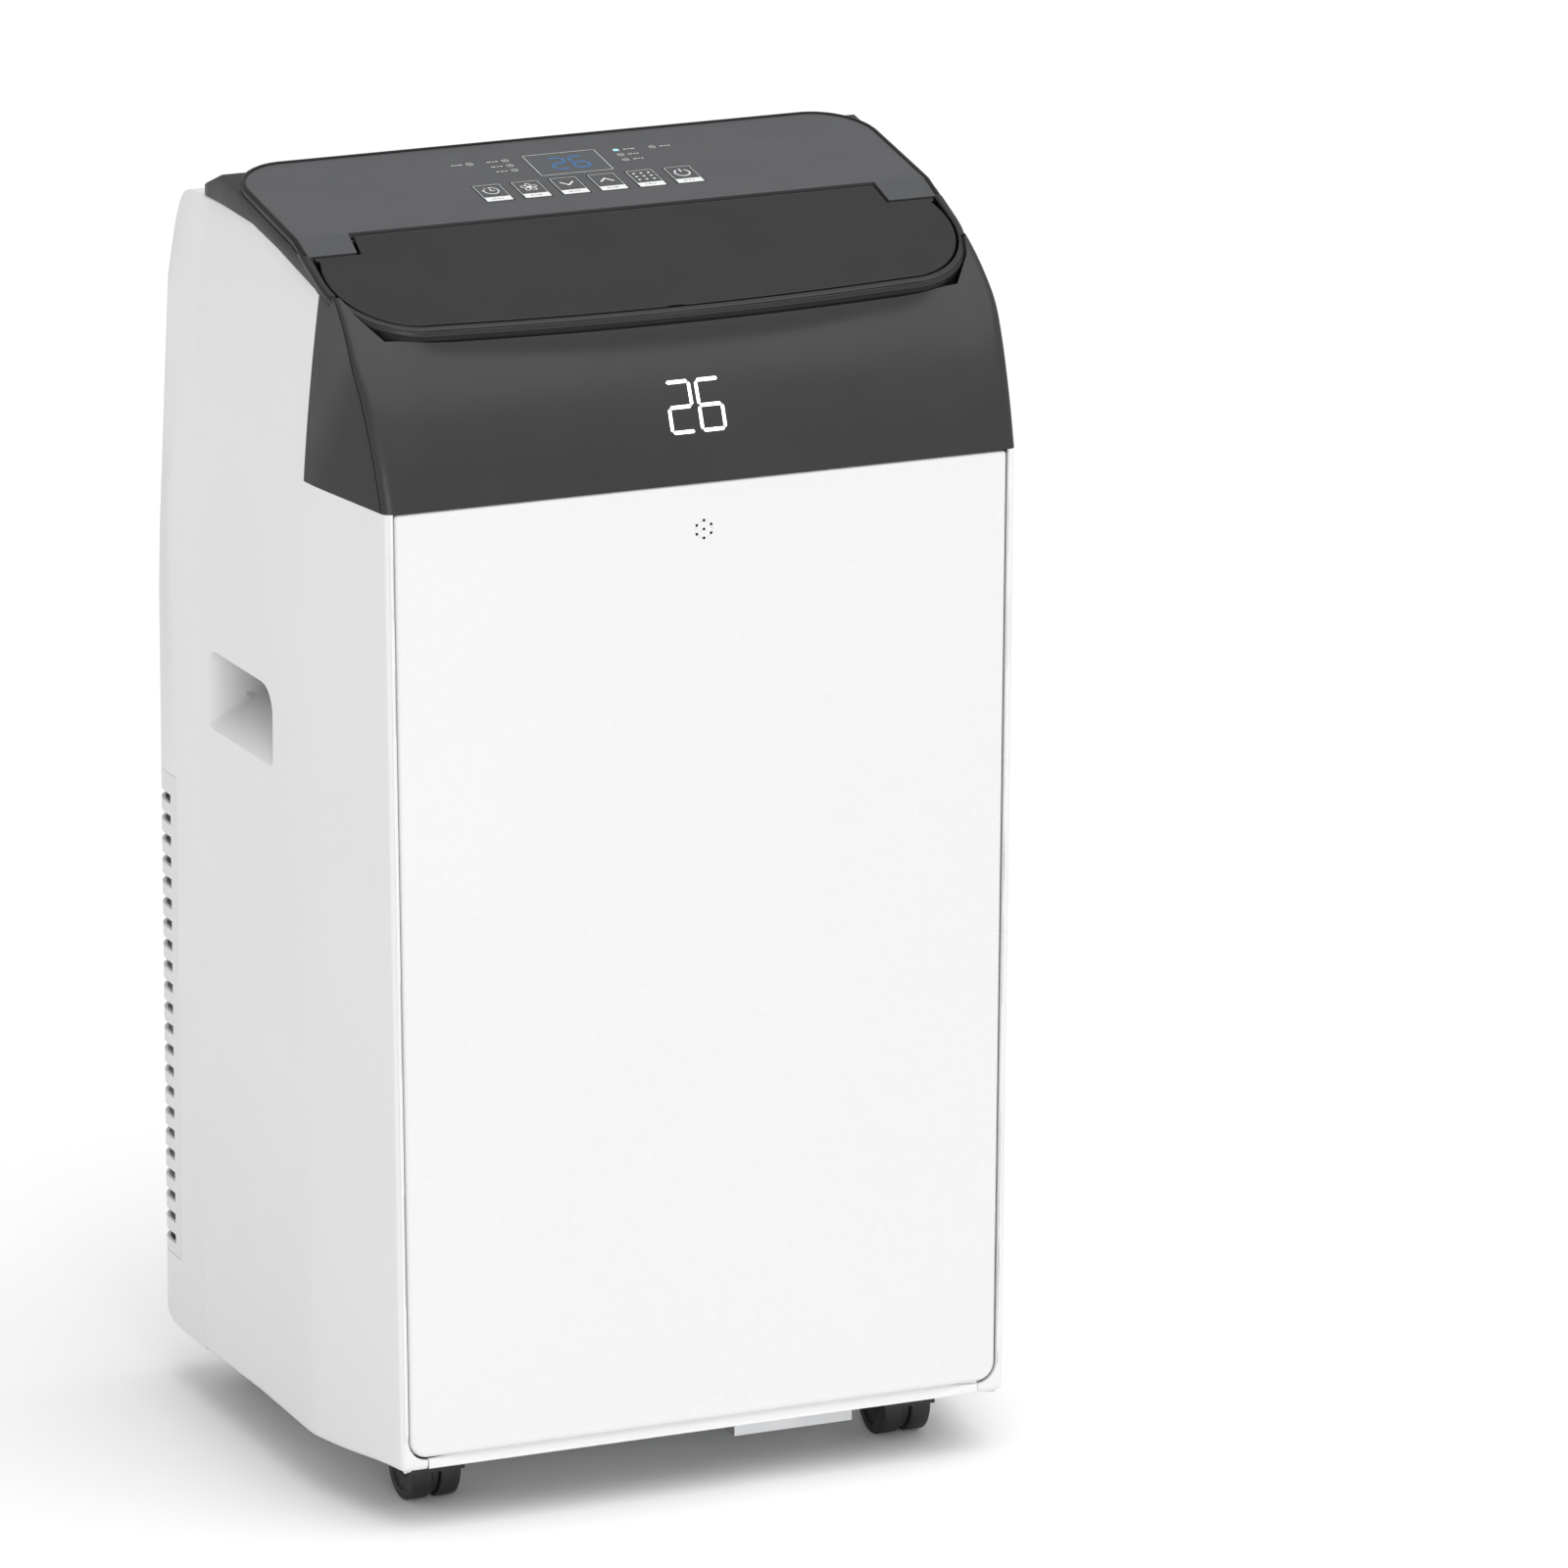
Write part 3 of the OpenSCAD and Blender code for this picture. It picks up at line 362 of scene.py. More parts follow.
def mitre(before, here, after, least):
    """Where a corner goes when its path moves one unit to the left; least keeps sharp corners short."""
    a, b = [Vector((q[0] - p[0], q[1] - p[1])) for p, q in ((before, here), (here, after))]
    a, b = (a if a.length else b).normalized(), (b if b.length else a).normalized()
    n1, n2 = Vector((-a.y, a.x)), Vector((-b.y, b.x))
    return (n1 + n2) / max(least, 1 + n1.dot(n2))


def inset(loop, by):
    """A closed loop moved inwards; the loop runs anticlockwise."""
    made = []
    for i, (x, y) in enumerate(loop):
        move = mitre(loop[i - 1], (x, y), loop[(i + 1) % len(loop)], 0.35) * by
        made.append((x + move.x, y + move.y))
    return made


def anticlockwise(loop):
    """The loop, turned round if it runs clockwise."""
    area = sum(loop[i - 1][0] * y - x * loop[i - 1][1] for i, (x, y) in enumerate(loop))
    return loop if area > 0 else loop[::-1]


def flat_fill(loops, folds=()):
    """Triangles over a flat outline with holes, as 2D points and faces, cut along lines of constant y."""
    work = bmesh.new()
    for loop in loops:
        ring = [work.verts.new((x, y, 0)) for x, y in loop]
        for i, v in enumerate(ring):
            work.edges.new((ring[i - 1], v))
    bmesh.ops.triangle_fill(work, use_beauty=True, use_dissolve=False, edges=work.edges[:])
    for y in folds:
        everything = work.verts[:] + work.edges[:] + work.faces[:]
        bmesh.ops.bisect_plane(work, geom=everything, plane_co=(0, y, 0), plane_no=(0, 1, 0))
    bmesh.ops.recalc_face_normals(work, faces=work.faces)
    work.verts.index_update()
    points = [(v.co.x, v.co.y) for v in work.verts]
    faces = [tuple(v.index for v in f.verts) for f in work.faces]
    if work.faces and sum(f.normal.z for f in work.faces) < 0:
        faces = [f[::-1] for f in faces]
    work.free()
    return points, faces


def rounded_box(cx, cy, w, h, r):
    """Anticlockwise rounded rectangle."""
    loop = []
    for sx, sy, turn in ((1, -1, -90), (1, 1, 0), (-1, 1, 90), (-1, -1, 180)):
        loop += arc(cx + sx * w / 2 - sx * r, cy + sy * h / 2 - sy * r, r, turn, turn + 90, 4)
    return loop


def between(table, at):
    """Straight lines through (at, value) pairs."""
    for (a, u), (b, v) in zip(table, table[1:]):
        if at <= b:
            return u + (v - u) * max(0, at - a) / (b - a)
    return table[-1][1]


def smooth(t):
    """An S-shaped step from 0 to 1."""
    t = max(0.0, min(1.0, t))
    return t * t * (3 - 2 * t)


def soft_min(a, b, reach):
    """The smaller of two lengths, with a round turn where they are within reach of each other."""
    h = max(reach - abs(a - b), 0) / reach
    return min(a, b) - h * h * reach / 4


def bend(a, b, c, t):
    """A quadratic curve from a to c that is drawn towards b."""
    return a * (1 - t) ** 2 + b * 2 * t * (1 - t) + c * t * t


# -------------------- casing, as in the CAD source
HINGE_Y, HINGE_Z, PLATE_SLOPE, FLAP_SLOPE = -59.3, 825.0, 11.4, 24.2
FRONT_Y, CORNER_Y, CREASE_Y, REAR_CREASE_Y = -200, -196, -92, 97
HALF_W, CORNER_HALF_W, CORNER_R, TOE_IN = 232.5, 220.6, 4.5, 0.6
SKIRT_Z, BAND_Z, CROWN_Z, CROWN_TOP_Z = 42.0, 675.0, 600, 806
LIP_FOOT, LIP_LEAN, LIP_CURVE_Z, LIP_R = 208.4, 6.2, 62, 13.4
SIDE_TOP = [(-98, 799.5), (-69, 806), (-36, 813.6), (7, 821.4), (55, 823.6), (80, 824), (97, 822.9),
            (120, 821.5)]


def flap_z(y):
    return HINGE_Z + tan(FLAP_SLOPE) * (y - HINGE_Y)


def plate_z(y):
    return HINGE_Z + tan(PLATE_SLOPE) * (y - HINGE_Y)


def deck_z(y):
    """Height of the top's face, on the flap's slope or on the control plate's."""
    return flap_z(y) if y < HINGE_Y else plate_z(y)


def side_top(y):
    return sum(between(SIDE_TOP, y + d) for d in (-9, -4, 0, 4, 9)) / 5


def side_at(y, z):
    """Half width of the casing on its side."""
    front = CORNER_HALF_W + (y - CORNER_Y) * 11.9 / (CREASE_Y - CORNER_Y)
    rear = HALF_W - (y - CREASE_Y) * 4 / (REAR_CREASE_Y - CREASE_Y)
    plan = soft_min(front, rear, 0.9)
    # the crown is a parabola, in by 12 t t at a height of 200 t + 6 t t above its foot
    t = 0 if z < CROWN_Z else (math.sqrt(40000 + 24 * (z - CROWN_Z)) - 200) / 12
    crown = HALF_W - 12 * t * t if t < 1 else 220.5 - (z - CROWN_TOP_Z) * 1.5 / 54
    x = soft_min(plan, crown, 1.5)
    if z > BAND_Z:
        return x
    facet = HALF_W + (y - CREASE_Y) * (12.5 + (BAND_Z - z) * tan(TOE_IN)) / (CREASE_Y - FRONT_Y)
    return soft_min(x, facet, 0.9)


def lip_inner(z):
    """Inner edge of the white lip beside the front panel."""
    edge = LIP_FOOT + LIP_LEAN * (z - SKIRT_Z) / (BAND_Z - SKIRT_Z)
    below = LIP_CURVE_Z - z
    if below <= 0:
        return edge
    return edge - LIP_R + math.sqrt(max(0, LIP_R ** 2 - min(below, LIP_R) ** 2))


def cheek_y(z):
    """Rear edge of the dark cover's cheek."""
    return CREASE_Y - 6.5 * max(0, z - BAND_Z) / 126


# -------------------- side panels with their handle recesses
HANDLE_Y, HANDLE_Z = (-37, 76), (473, 526)
FRAME_Y, FRAME_Z = (-49, 88), (456, 540)
# Columns and rows of the side's grid, closer together where it curves and round the handle
SIDE_YS = ([-192.5, -186, -178, -168, -157, -146, -135, -124, -114, -106, -99, -95.5, CREASE_Y]
           + [-88, -83, -77, -71, -64, -57] + [FRAME_Y[0] + 137 * i / 17 for i in range(18)]
           + [91, 94, 97.35])
SIDE_ZS = ([48.6, 48.9, 49.6, 51, 53, 56, 59, 62, 70, 85, 105, 130] + [160 + 35 * i for i in range(7)]
           + [400, 425, 445] + [FRAME_Z[0] + 7 * i for i in range(11)] + [532, FRAME_Z[1]]
           + [548, 561, 575, 590, 605, 620, 635, 648, 660, 668, 675])
# Rolled lower edge as (height, distance behind the skin)
FOOT = [(43.4, 13), (42, 10), (42, 4), (42.3, 2.47), (43.17, 1.17), (44.47, 0.3), (46, 0)]
# Fall of the lower edge beside the front casters as (y, fall)
DIP = [(-170, 0.4), (-134, 3), (-92, 3.6), (-45, 1.6), (0, 0)]
TOP_ROWS, TOP_R, TOP_ROLL = 10, 2.6, (20, 45, 70, 90, 90)
MOUTH_SHARES = (0.34, 0.67, 1.0)
RECESS_DEPTHS = (0.15, 0.35, 0.6, 0.95, 1.4, 2, 3, 4.5, 6.5, 9, 12, 15, 18, 21, 23.5, 25.6)
LIP_POINTS = 4


def side_section(z):
    """Plan of the side from the lip's inner edge round the corner to the rear crease."""
    inner, corner = lip_inner(z), side_at(CORNER_Y, z) - CORNER_R
    points = [(inner, FRONT_Y + 3.4), (inner, FRONT_Y + 0.8), (inner + 0.25, FRONT_Y + 0.25)]
    points += [(inner + 0.8, FRONT_Y), ((inner + corner) / 2, FRONT_Y)]
    points += [(corner + CORNER_R * sin(a), FRONT_Y + CORNER_R - CORNER_R * cos(a)) for a in range(0, 84, 12)]
    return points + [(side_at(y, z), y) for y in SIDE_YS]


SIDE_LEAD = len(side_section(BAND_Z)) - len(SIDE_YS)


def outward(points, i):
    (ax, ay), (bx, by) = points[max(0, i - 1)], points[min(len(points) - 1, i + 1)]
    n = Vector((by - ay, ax - bx))
    return n.normalized() if n.length > 1e-6 else Vector((0, -1))


def dipped(y, z):
    """Height of a point of the side, whose lower edge dips beside the front casters."""
    dip = sum(between(DIP, y + d) for d in (-12, -4, 4, 12)) / 4
    return z - dip * smooth((130 - z) / 80)


def hollow_depth(y, z, into):
    """Depth of the handle recess below the side's face."""
    up, back = max(0, z - HANDLE_Z[0]), max(0, HANDLE_Y[1] - y)
    wall = 7 * into * into / (into + 0.8)
    floor = 0.76 * up * up / (up + 1.5)
    rear = 0.68 * back * back / (back + 1.2)
    return min(38, soft_min(soft_min(wall, floor, 1.0), rear, 1.2))


def foot_rows():
    """The rolled lower edge of the side."""
    section = side_section(48.5)
    rows = []
    for z, back in FOOT:
        row = []
        for i, (x, y) in enumerate(section):
            n = outward(section, i) if i >= LIP_POINTS else Vector((0, -1))
            row.append((x - n.x * back, y - n.y * back, dipped(y, z)))
        rows.append(row)
    return rows


def upper_rows(last, cheek):
    """The side behind the dark cover's cheek, with the roll on top of it; earlier columns stay low."""
    rows = []
    for f in range(1, TOP_ROWS + len(TOP_ROLL) + 1):
        row = [(x, y, BAND_Z) for x, y, _ in last[:cheek]]
        for y0 in SIDE_YS[cheek - SIDE_LEAD:]:
            z = BAND_Z + min(1, f / TOP_ROWS) * (side_top(y0) - TOP_R - BAND_Z)
            length = REAR_CREASE_Y - cheek_y(z) - 0.2
            y = REAR_CREASE_Y + (y0 - REAR_CREASE_Y) * length / (REAR_CREASE_Y - CREASE_Y)
            x = side_at(y, z)
            if f > TOP_ROWS:
                roll = TOP_ROLL[f - TOP_ROWS - 1]
                inward = 5 * smooth((y + 85) / 15) if f == TOP_ROWS + len(TOP_ROLL) else 0
                z += TOP_R * sin(roll)
                x -= TOP_R * (1 - cos(roll)) + inward
            row.append((x, y, z))
        rows.append(row)
    return rows


def recess_ring(border, into, share):
    """A ring of the handle recess: a share of the way from its frame to its mouth, or some way into it."""
    y0, y1, z0, z1 = HANDLE_Y[0] + into, HANDLE_Y[1] - into, HANDLE_Z[0] + into, HANDLE_Z[1] - into
    ring = []
    for _, by, bz in border:
        u, v = (by - FRAME_Y[0]) / (FRAME_Y[1] - FRAME_Y[0]), (bz - FRAME_Z[0]) / (FRAME_Z[1] - FRAME_Z[0])
        y, z = y0 + u * (y1 - y0), z0 + v * (z1 - z0)
        front, top = u < 0.5, v > 0.5
        r = max(0.4, ((19 if front else 10) if top else 3) - into)
        cy, cz = (y0 + r if front else y1 - r), (z1 - r if top else z0 + r)
        if (y < cy if front else y > cy) and (z > cz if top else z < cz):
            away = Vector((y - cy, z - cz))
            reach = max(abs(away.x), abs(away.y))
            away = away.normalized() * reach
            y, z = cy + away.x, cz + away.y
        if not into:
            y, z = by + (y - by) * share, bz + (z - bz) * share
        ring.append((side_at(y, z) - hollow_depth(y, z, into), y, z))
    return ring


def side_panel(name, sign, node):
    rows = foot_rows() + [[(x, y, dipped(y, z)) for x, y in side_section(z)] for z in SIDE_ZS]
    top_row = len(rows) - 1
    cheek = SIDE_LEAD + SIDE_YS.index(CREASE_Y)
    rows += upper_rows(rows[top_row], cheek)
    low, high = [len(FOOT) + SIDE_ZS.index(z) for z in FRAME_Z]
    first, last = [SIDE_LEAD + SIDE_YS.index(y) for y in FRAME_Y]

    def left_out(i, j):
        return (low <= i < high and first <= j < last) or (i >= top_row and j < cheek)

    verts, faces = lattice(rows, skip=left_out)
    border = [rows[low][j] for j in range(first, last)] + [rows[i][last] for i in range(low, high)]
    border += [rows[high][j] for j in range(last, first, -1)] + [rows[i][first] for i in range(high, low, -1)]
    rings = [border] + [recess_ring(border, 0, share) for share in MOUTH_SHARES]
    rings += [recess_ring(border, into, 1) for into in RECESS_DEPTHS]
    more, quads = lattice(rings, closed=True, start=len(verts))
    inner = len(faces) + len(MOUTH_SHARES) * len(border)
    faces += quads
    verts += more
    faces.append(tuple(range(len(verts) - len(border), len(verts))))
    if sign < 0:
        verts = other_side(verts)
        faces = [f[::-1] for f in faces]
    # The recess's faces carry painted shade that darkens them deeper into the recess
    piece(name, verts, faces, WHITE, stands_for=[node], slot="white_shell", thick=2.2, edge=0.3, angle=55,
          extra=[(range(inner, len(faces)), RECESS_PAINTED_SHADE)])


side_panel("side_shell_left", -1, "left_side_panel")
side_panel("side_shell_right", 1, "right_side_panel")

# -------------------- front panel and sill
PANEL_GAP, PANEL_FOOT_Z, PANEL_TOP_Z, PANEL_R, PANEL_TOP_R = 1.0, 49.7, 674.2, 12.4, 2.6
HOLES_Z, HOLE_R, HOLE_RING_R, HOLE_FLOOR_Y = 644, 0.95, 5.8, -197.2
# The panel's rounded bead as (distance in from its outline, y)
BEAD = [(0, -194.5), (0, -197.5), (0.3, -198.5), (0.9, -199.3), (1.8, -199.8), (3.0, -200.0), (4.4, -199.9),
        (6.0, -199.72), (7.6, -199.62), (9.0, -199.6), (9.8, -199.6)]
PANEL_Y = BEAD[-1][1]


def panel_outline(d):
    """Outline of the front panel moved in by d, as [x, z]."""
    foot = lip_inner(LIP_CURVE_Z) - PANEL_GAP - PANEL_R
    r = max(0.05, PANEL_TOP_R - d)
    right = arc(foot, PANEL_FOOT_Z + PANEL_R, PANEL_R - d, -90, 0, 12)
    right += arc(lip_inner(674) - PANEL_GAP - d - r, PANEL_TOP_Z - d - r, r, 0, 90, 4)
    return [(-x, z) for x, z in reversed(right)] + right


def front_panel():
    """A flat face inside a rounded bead, with seven small holes."""
    rings = [[(x, y, z) for x, z in panel_outline(d)] for d, y in BEAD]
    verts, faces = lattice(rings, closed=True)
    holes = [(0, HOLES_Z)]
    for a in range(30, 360, 60):
        holes.append((HOLE_RING_R * cos(a), HOLES_Z + HOLE_RING_R * sin(a)))
    hole_loops = [arc(x, z, HOLE_R, 0, 360 - 22.5, 15) for x, z in holes]
    points, fill = flat_fill([[(x, z) for x, _, z in rings[-1]]] + hole_loops)
    start = len(verts)
    verts += [(x, PANEL_Y, z) for x, z in points]
    faces += [tuple(start + i for i in f) for f in fill]
    # The holes' walls and floors get painted shade
    dark_from = len(faces)
    for loop in hole_loops:
        walls = [[(x, y, z) for x, z in loop] for y in (PANEL_Y, HOLE_FLOOR_Y)]
        more, quads = lattice(walls, closed=True, start=len(verts), flip=True)
        verts += more
        faces += quads + [tuple(range(len(verts) - len(loop), len(verts)))]
    piece("front_skin", verts, faces, PANEL, stands_for=["front_panel"], slot="front_white",
          extra=[(range(dark_from, len(faces)), HOLE_SHADE)])


front_panel()

# Sill: a thin lip below the front panel with a sloping shelf behind it, which runs out flush at its ends
UNDERSIDE = [(-184, 42.6), (-190, 42.0), (-198.6, 42.0), (-199.7, 42.3), (-200, 42.9)]
SHELF = UNDERSIDE + [(-199.8, 43.6), (-199.0, 44.0), (-197.6, 45.2), (-196.4, 47.4), (-195.6, 50.5)]
FLUSH = UNDERSIDE + [(-200, 44.4), (-200, 45.8), (-200, 47.4), (-199.2, 48.4), (-196.6, 48.4)]
SILL_HALF, SILL_STEPS, SILL_RUN_OUT = 194.9, 40, 26
rows = []
for i in range(SILL_STEPS + 1):
    x = -SILL_HALF + 2 * SILL_HALF * i / SILL_STEPS
    t = smooth((SILL_HALF - abs(x)) / SILL_RUN_OUT)
    rows.append([(x, a[0] + (b[0] - a[0]) * t, a[1] + (b[1] - a[1]) * t) for a, b in zip(FLUSH, SHELF)])
verts, faces = lattice(rows)
piece("sill_lip", verts, faces, SILL, stands_for=["front_sill"], slot="white_shell")

# -------------------- dark front cover
# Its front in the middle as (z, y): flat, then leaning back, then rolling over to the top
BAND_LINE = [(BAND_Z, -200.0), (688, -196.3), (702, -192.0), (715, -187.2), (728, -182.0)]
BAND_LINE += [(bend(728, 780, 803.5, i / 12), bend(-182, -160, -120, i / 12)) for i in range(1, 13)]
BAND_LINE.append((807.2, -108.5))
# Plan of the opening for the flap: centre and radius of its corner, and the flap's own radius there
OPEN_X, OPEN_Y, OPEN_R, FLAP_R = 168, -102, 56, 50
# How far the cover's edge reaches into the opening at its sides, and how much further out its front lies
OPEN_LAP, OPEN_SPREAD = 1.5, 5.7
COVER_FOOT_Z, COVER_TOP_Z, COVER_STEPS = BAND_Z + 0.1, 807, 44
SIDE_COLUMNS, GROOVE_COLUMNS = 7, 4


def flap_front(x):
    """Y of the flap's bowed front edge."""
    return -157 + x * x / 5400


def cap_front(x):
    """Y of the cover's edge in front of the flap."""
    return flap_front(x) - 6


def front_share(a):
    """How far a corner's direction, in degrees, has turned from the side to the front."""
    return smooth((-a - 18) / 34)


def band_y(z):
    return sum(between(BAND_LINE, z + d) for d in (-3, 0, 3)) / 3 if z > BAND_Z + 3 else between(BAND_LINE, z)


def band_section(z):
    """Plan of the cover from the rear of its cheek over the groove and the corner, towards the middle."""
    y, cheek = band_y(z), cheek_y(z)
    x = side_at(y + 5, z + 0.01)
    section = []
    for t in (0, 0.12, 0.28, 0.45, 0.62, 0.78, 0.92, 1):
        side_y = cheek + (y + 6 - cheek) * t
        section.append((side_at(side_y, z + 0.01), side_y))
    section += [(x - 0.1, y + 5.5), (x - 1.0, y + 5.0), (x - 0.3, y + 4.5)]
    for a in range(4, 91, 10):
        section.append((x - 9.3 + 9 * cos(a), y + 4.3 - 4.3 * sin(a)))
    for w in (200, 190, 180, 170, 155, 130, 105, 80, 60, 40, 20):
        section.append((w, y + (soft_min(y, cap_front(w) - 1.0, 6) - y) * smooth((200 - w) / 40)))
    return section


def cap_line(out_front, out_side):
    """Half of the opening's outline, from its side to the middle of its front, moved outwards."""
    line = []
    for i in range(29):
        a = -84 * i / 28
        r = OPEN_R + (out_side + (out_front - out_side) * front_share(a))
        line.append((OPEN_X + r * cos(a), OPEN_Y + r * sin(a)))
    return line + [(x, cap_front(x) - out_front) for x in (150, 125, 100, 75, 50, 25)]


def in_cap(x, y):
    """Whether a place lies inside the opening of the front cover."""
    x = abs(x)
    if y > OPEN_Y:
        return x < OPEN_X + OPEN_R - OPEN_LAP
    a = math.degrees(math.atan2(y - OPEN_Y, x - OPEN_X))
    if x < OPEN_X and a < -90 or a < -84:
        return y > cap_front(x) - OPEN_SPREAD + OPEN_LAP
    return math.hypot(x - OPEN_X, y - OPEN_Y) < OPEN_R - OPEN_LAP + OPEN_SPREAD * front_share(a)


def ended(column, z):
    """Whether a column of the cover has reached the opening or the casing's top."""
    x, y = band_section(z)[column]
    return (z > flap_z(y) - 7.2 and in_cap(x, y)) or z > side_top(y) + 0.3


def cover_top(column):
    """Height at which a column of the cover ends."""
    z = 740.0
    while z < COVER_TOP_Z:
        if ended(column, z):
            low, high = z - 2, z
            for _ in range(12):
                middle = (low + high) / 2
                low, high = (low, middle) if ended(column, middle) else (middle, high)
            return low
        z += 2
    return COVER_TOP_Z


def front_cover():
    tops = [cover_top(j) for j in range(len(band_section(BAND_Z)))]
    rows = []
    for i in range(COVER_STEPS + 1):
        heights = [COVER_FOOT_Z + (top - COVER_FOOT_Z) * i / COVER_STEPS for top in tops]
        half = [(*band_section(z)[j], z) for j, z in enumerate(heights)]
        middle = (0, half[-1][1] - 0.05, heights[-1])
        rows.append(half + [middle] + other_side(half[::-1]))
    verts, faces = lattice(rows, flip=True)
    across = len(rows[0]) - 1
    cheeks, grooves = [], []
    for k in range(len(faces)):
        from_side = min(k % across, across - 1 - k % across)
        # Cheek faces get the darker copy of the cover's finish: painted shade
        if from_side < SIDE_COLUMNS:
            cheeks.append(k)
        # Groove faces get the black rim finish: painted shade in the groove and at the start of its rounded
        # edge
        elif from_side < SIDE_COLUMNS + GROOVE_COLUMNS:
            grooves.append(k)
    piece("front_cover_skin", verts, faces, BAND, stands_for=["upper_front_cover"], slot="cover_dark",
          thick=2.4, edge=0.35, angle=50, extra=[(cheeks, CHEEK_PAINTED_SHADE), (grooves, RIM_AND_GROOVE_SHADE)])


front_cover()

# Dark wall behind the gap between the front cover and the rim of the top cover
side = [(216.8, y) for y in (-71, -78, -85, CREASE_Y)]
rows = []
for (ax, ay), (bx, by) in zip(side + cap_line(-2.6, -4.0), side + cap_line(-0.9, -3.4)):
    rows.append([(ax, ay, flap_z(ay) - fall) for fall in (4.5, 10, 25)] + [(bx, by, flap_z(ay) - 26)])
rows += [other_side(row) for row in reversed(rows)]
verts, faces = lattice(rows)
piece("rim_channel", verts, faces, RIM_AND_GROOVE_SHADE, slot="cover_dark", thick=1.2)

# Lit digits behind the front cover
BARS = {"top": ((0, 1), (1, 1)), "mid": ((0, 0.5), (1, 0.5)), "low": ((0, 0), (1, 0)),
        "upper_left": ((0, 1), (0, 0.5)), "upper_right": ((1, 1), (1, 0.5)),
        "lower_left": ((0, 0.5), (0, 0)), "lower_right": ((1, 0.5), (1, 0))}
LIT = {"2": ("top", "upper_right", "mid", "lower_left", "low"),
       "6": ("top", "upper_left", "mid", "lower_left", "lower_right", "low")}


def digits(text, place, left, low, wide, high, gap, stroke):
    """Seven-bar digits as raised lozenges; place(u, v, height) puts them on a surface."""
    verts, faces = [], []
    for k, sign in enumerate(text):
        x0 = left + k * (wide + gap)
        for bar in LIT[sign]:
            (au, av), (bu, bv) = BARS[bar]
            a, b = Vector((x0 + au * wide, low + av * high)), Vector((x0 + bu * wide, low + bv * high))
            along = (b - a).normalized()
            a, b = a + along * 0.55, b - along * 0.55
            side = Vector((-along.y, along.x)) * stroke / 2
            tip = along * stroke / 2
            shape = [a, a + side + tip, b + side - tip, b, b - side - tip, a - side + tip]
            rows = [[place(p.x, p.y, height) for p in shape] for height in (0.0, 0.22)]
            more, quads = lattice(rows, closed=True, start=len(verts))
            verts += more
            faces += quads + [tuple(range(len(verts) - len(shape), len(verts)))]
    return verts, faces


def on_band(x, z, out):
    return (x, band_y(z) - 0.05 - out, z)


LAMP = finish("white_lamp", (0.9, 0.92, 0.95), 0.4, 0.01, 30, 1200, 0.002, 0.02, glow=(0.93, 0.97, 1.0, 2.4))
BLUE = finish("blue_lamp", (0.012, 0.08, 0.20), 0.4, 0.05, 30, 1200, 0.002, 0.02,
              glow=(0.012, 0.10, 0.26, 0.5))
CYAN = finish("cyan_lamp", (0.1, 0.5, 0.6), 0.4, 0.05, 30, 1200, 0.002, 0.02, glow=(0.25, 0.80, 0.95, 1.2))
verts, faces = digits("26", on_band, -17.4, 706.4, 15.9, 30.2, 5.0, 2.1)
piece("front_digits", verts, faces, LAMP, stands_for=["front_display"], slot="led_module", flat=True)

# -------------------- control plate
COS, SIN = cos(PLATE_SLOPE), sin(PLATE_SLOPE)
KEY_V, KEY_W, KEY_L, KEY_PITCH, KEY_TOP = 40.6, 19.5, 26.8, 26.9, 0.2
WINDOW_V, WINDOW_W, WINDOW_L = 75.5, 51.8, 32.8
PLATE_X, PLATE_Y, PLATE_R, PLATE_HALF = 184, 19, 38, 222


def on_plate(x, v, out):
    """A place on the control plate: across, up the plate from the hinge line, and above its face."""
    return (x, HINGE_Y + v * COS - out * SIN, HINGE_Z + v * SIN + out * COS)


def plan(loop):
    """A loop on the control plate, seen from above."""
    return [(x, HINGE_Y + v * COS) for x, v in loop]


key_xs = [(i - 2.5) * KEY_PITCH for i in range(6)]
half = arc(PLATE_X, PLATE_Y, PLATE_R, 90, 0, 20)
half += [(PLATE_HALF, -40), (PLATE_HALF, -77.6), (186.6, -77.6), (184.7, -57.7)]
wells = [plan(rounded_box(x, KEY_V, KEY_W + 0.9, KEY_L + 0.9, 1.6)) for x in key_xs]
wells.append(plan(rounded_box(0, WINDOW_V, WINDOW_W + 0.4, WINDOW_L + 0.4, 1.2)))
points, faces = flat_fill([anticlockwise(mirrored(half))] + wells, folds=(HINGE_Y,))
verts = [(x, y, deck_z(y)) for x, y in points]
piece("key_plate", verts, faces, PLATE, stands_for=["control_plate"], slot="plate_grey", thick=4.0, edge=0.45,
      angle=50, segments=3)


class Print:
    """Thin printed shapes on a surface; place(u, v, height) puts them there."""

    def __init__(self, place, out):
        self.place, self.out, self.verts, self.faces = place, out, [], []

    def shape(self, loop):
        start = len(self.verts)
        loop = anticlockwise(loop)
        self.verts += [self.place(u, v, self.out) for u, v in loop]
        self.faces.append(tuple(range(start, start + len(loop))))

    def line(self, path, width, closed=False):
        """A stroke along a path, mitred at its corners."""
        n = len(path)
        left, right = [], []
        for i, (x, y) in enumerate(path):
            before = path[i - 1] if i or closed else path[0]
            after = path[(i + 1) % n] if i < n - 1 or closed else path[-1]
            move = mitre(before, (x, y), after, 0.5) * width / 2
            left.append((x + move.x, y + move.y))
            right.append((x - move.x, y - move.y))
        start = len(self.verts)
        self.verts += [self.place(u, v, self.out) for u, v in left + right]
        for i in range(n if closed else n - 1):
            j = (i + 1) % n
            self.faces.append((start + i, start + n + i, start + n + j, start + j))

    def dot(self, x, y, r):
        self.shape(arc(x, y, r, 0, 345, 23))


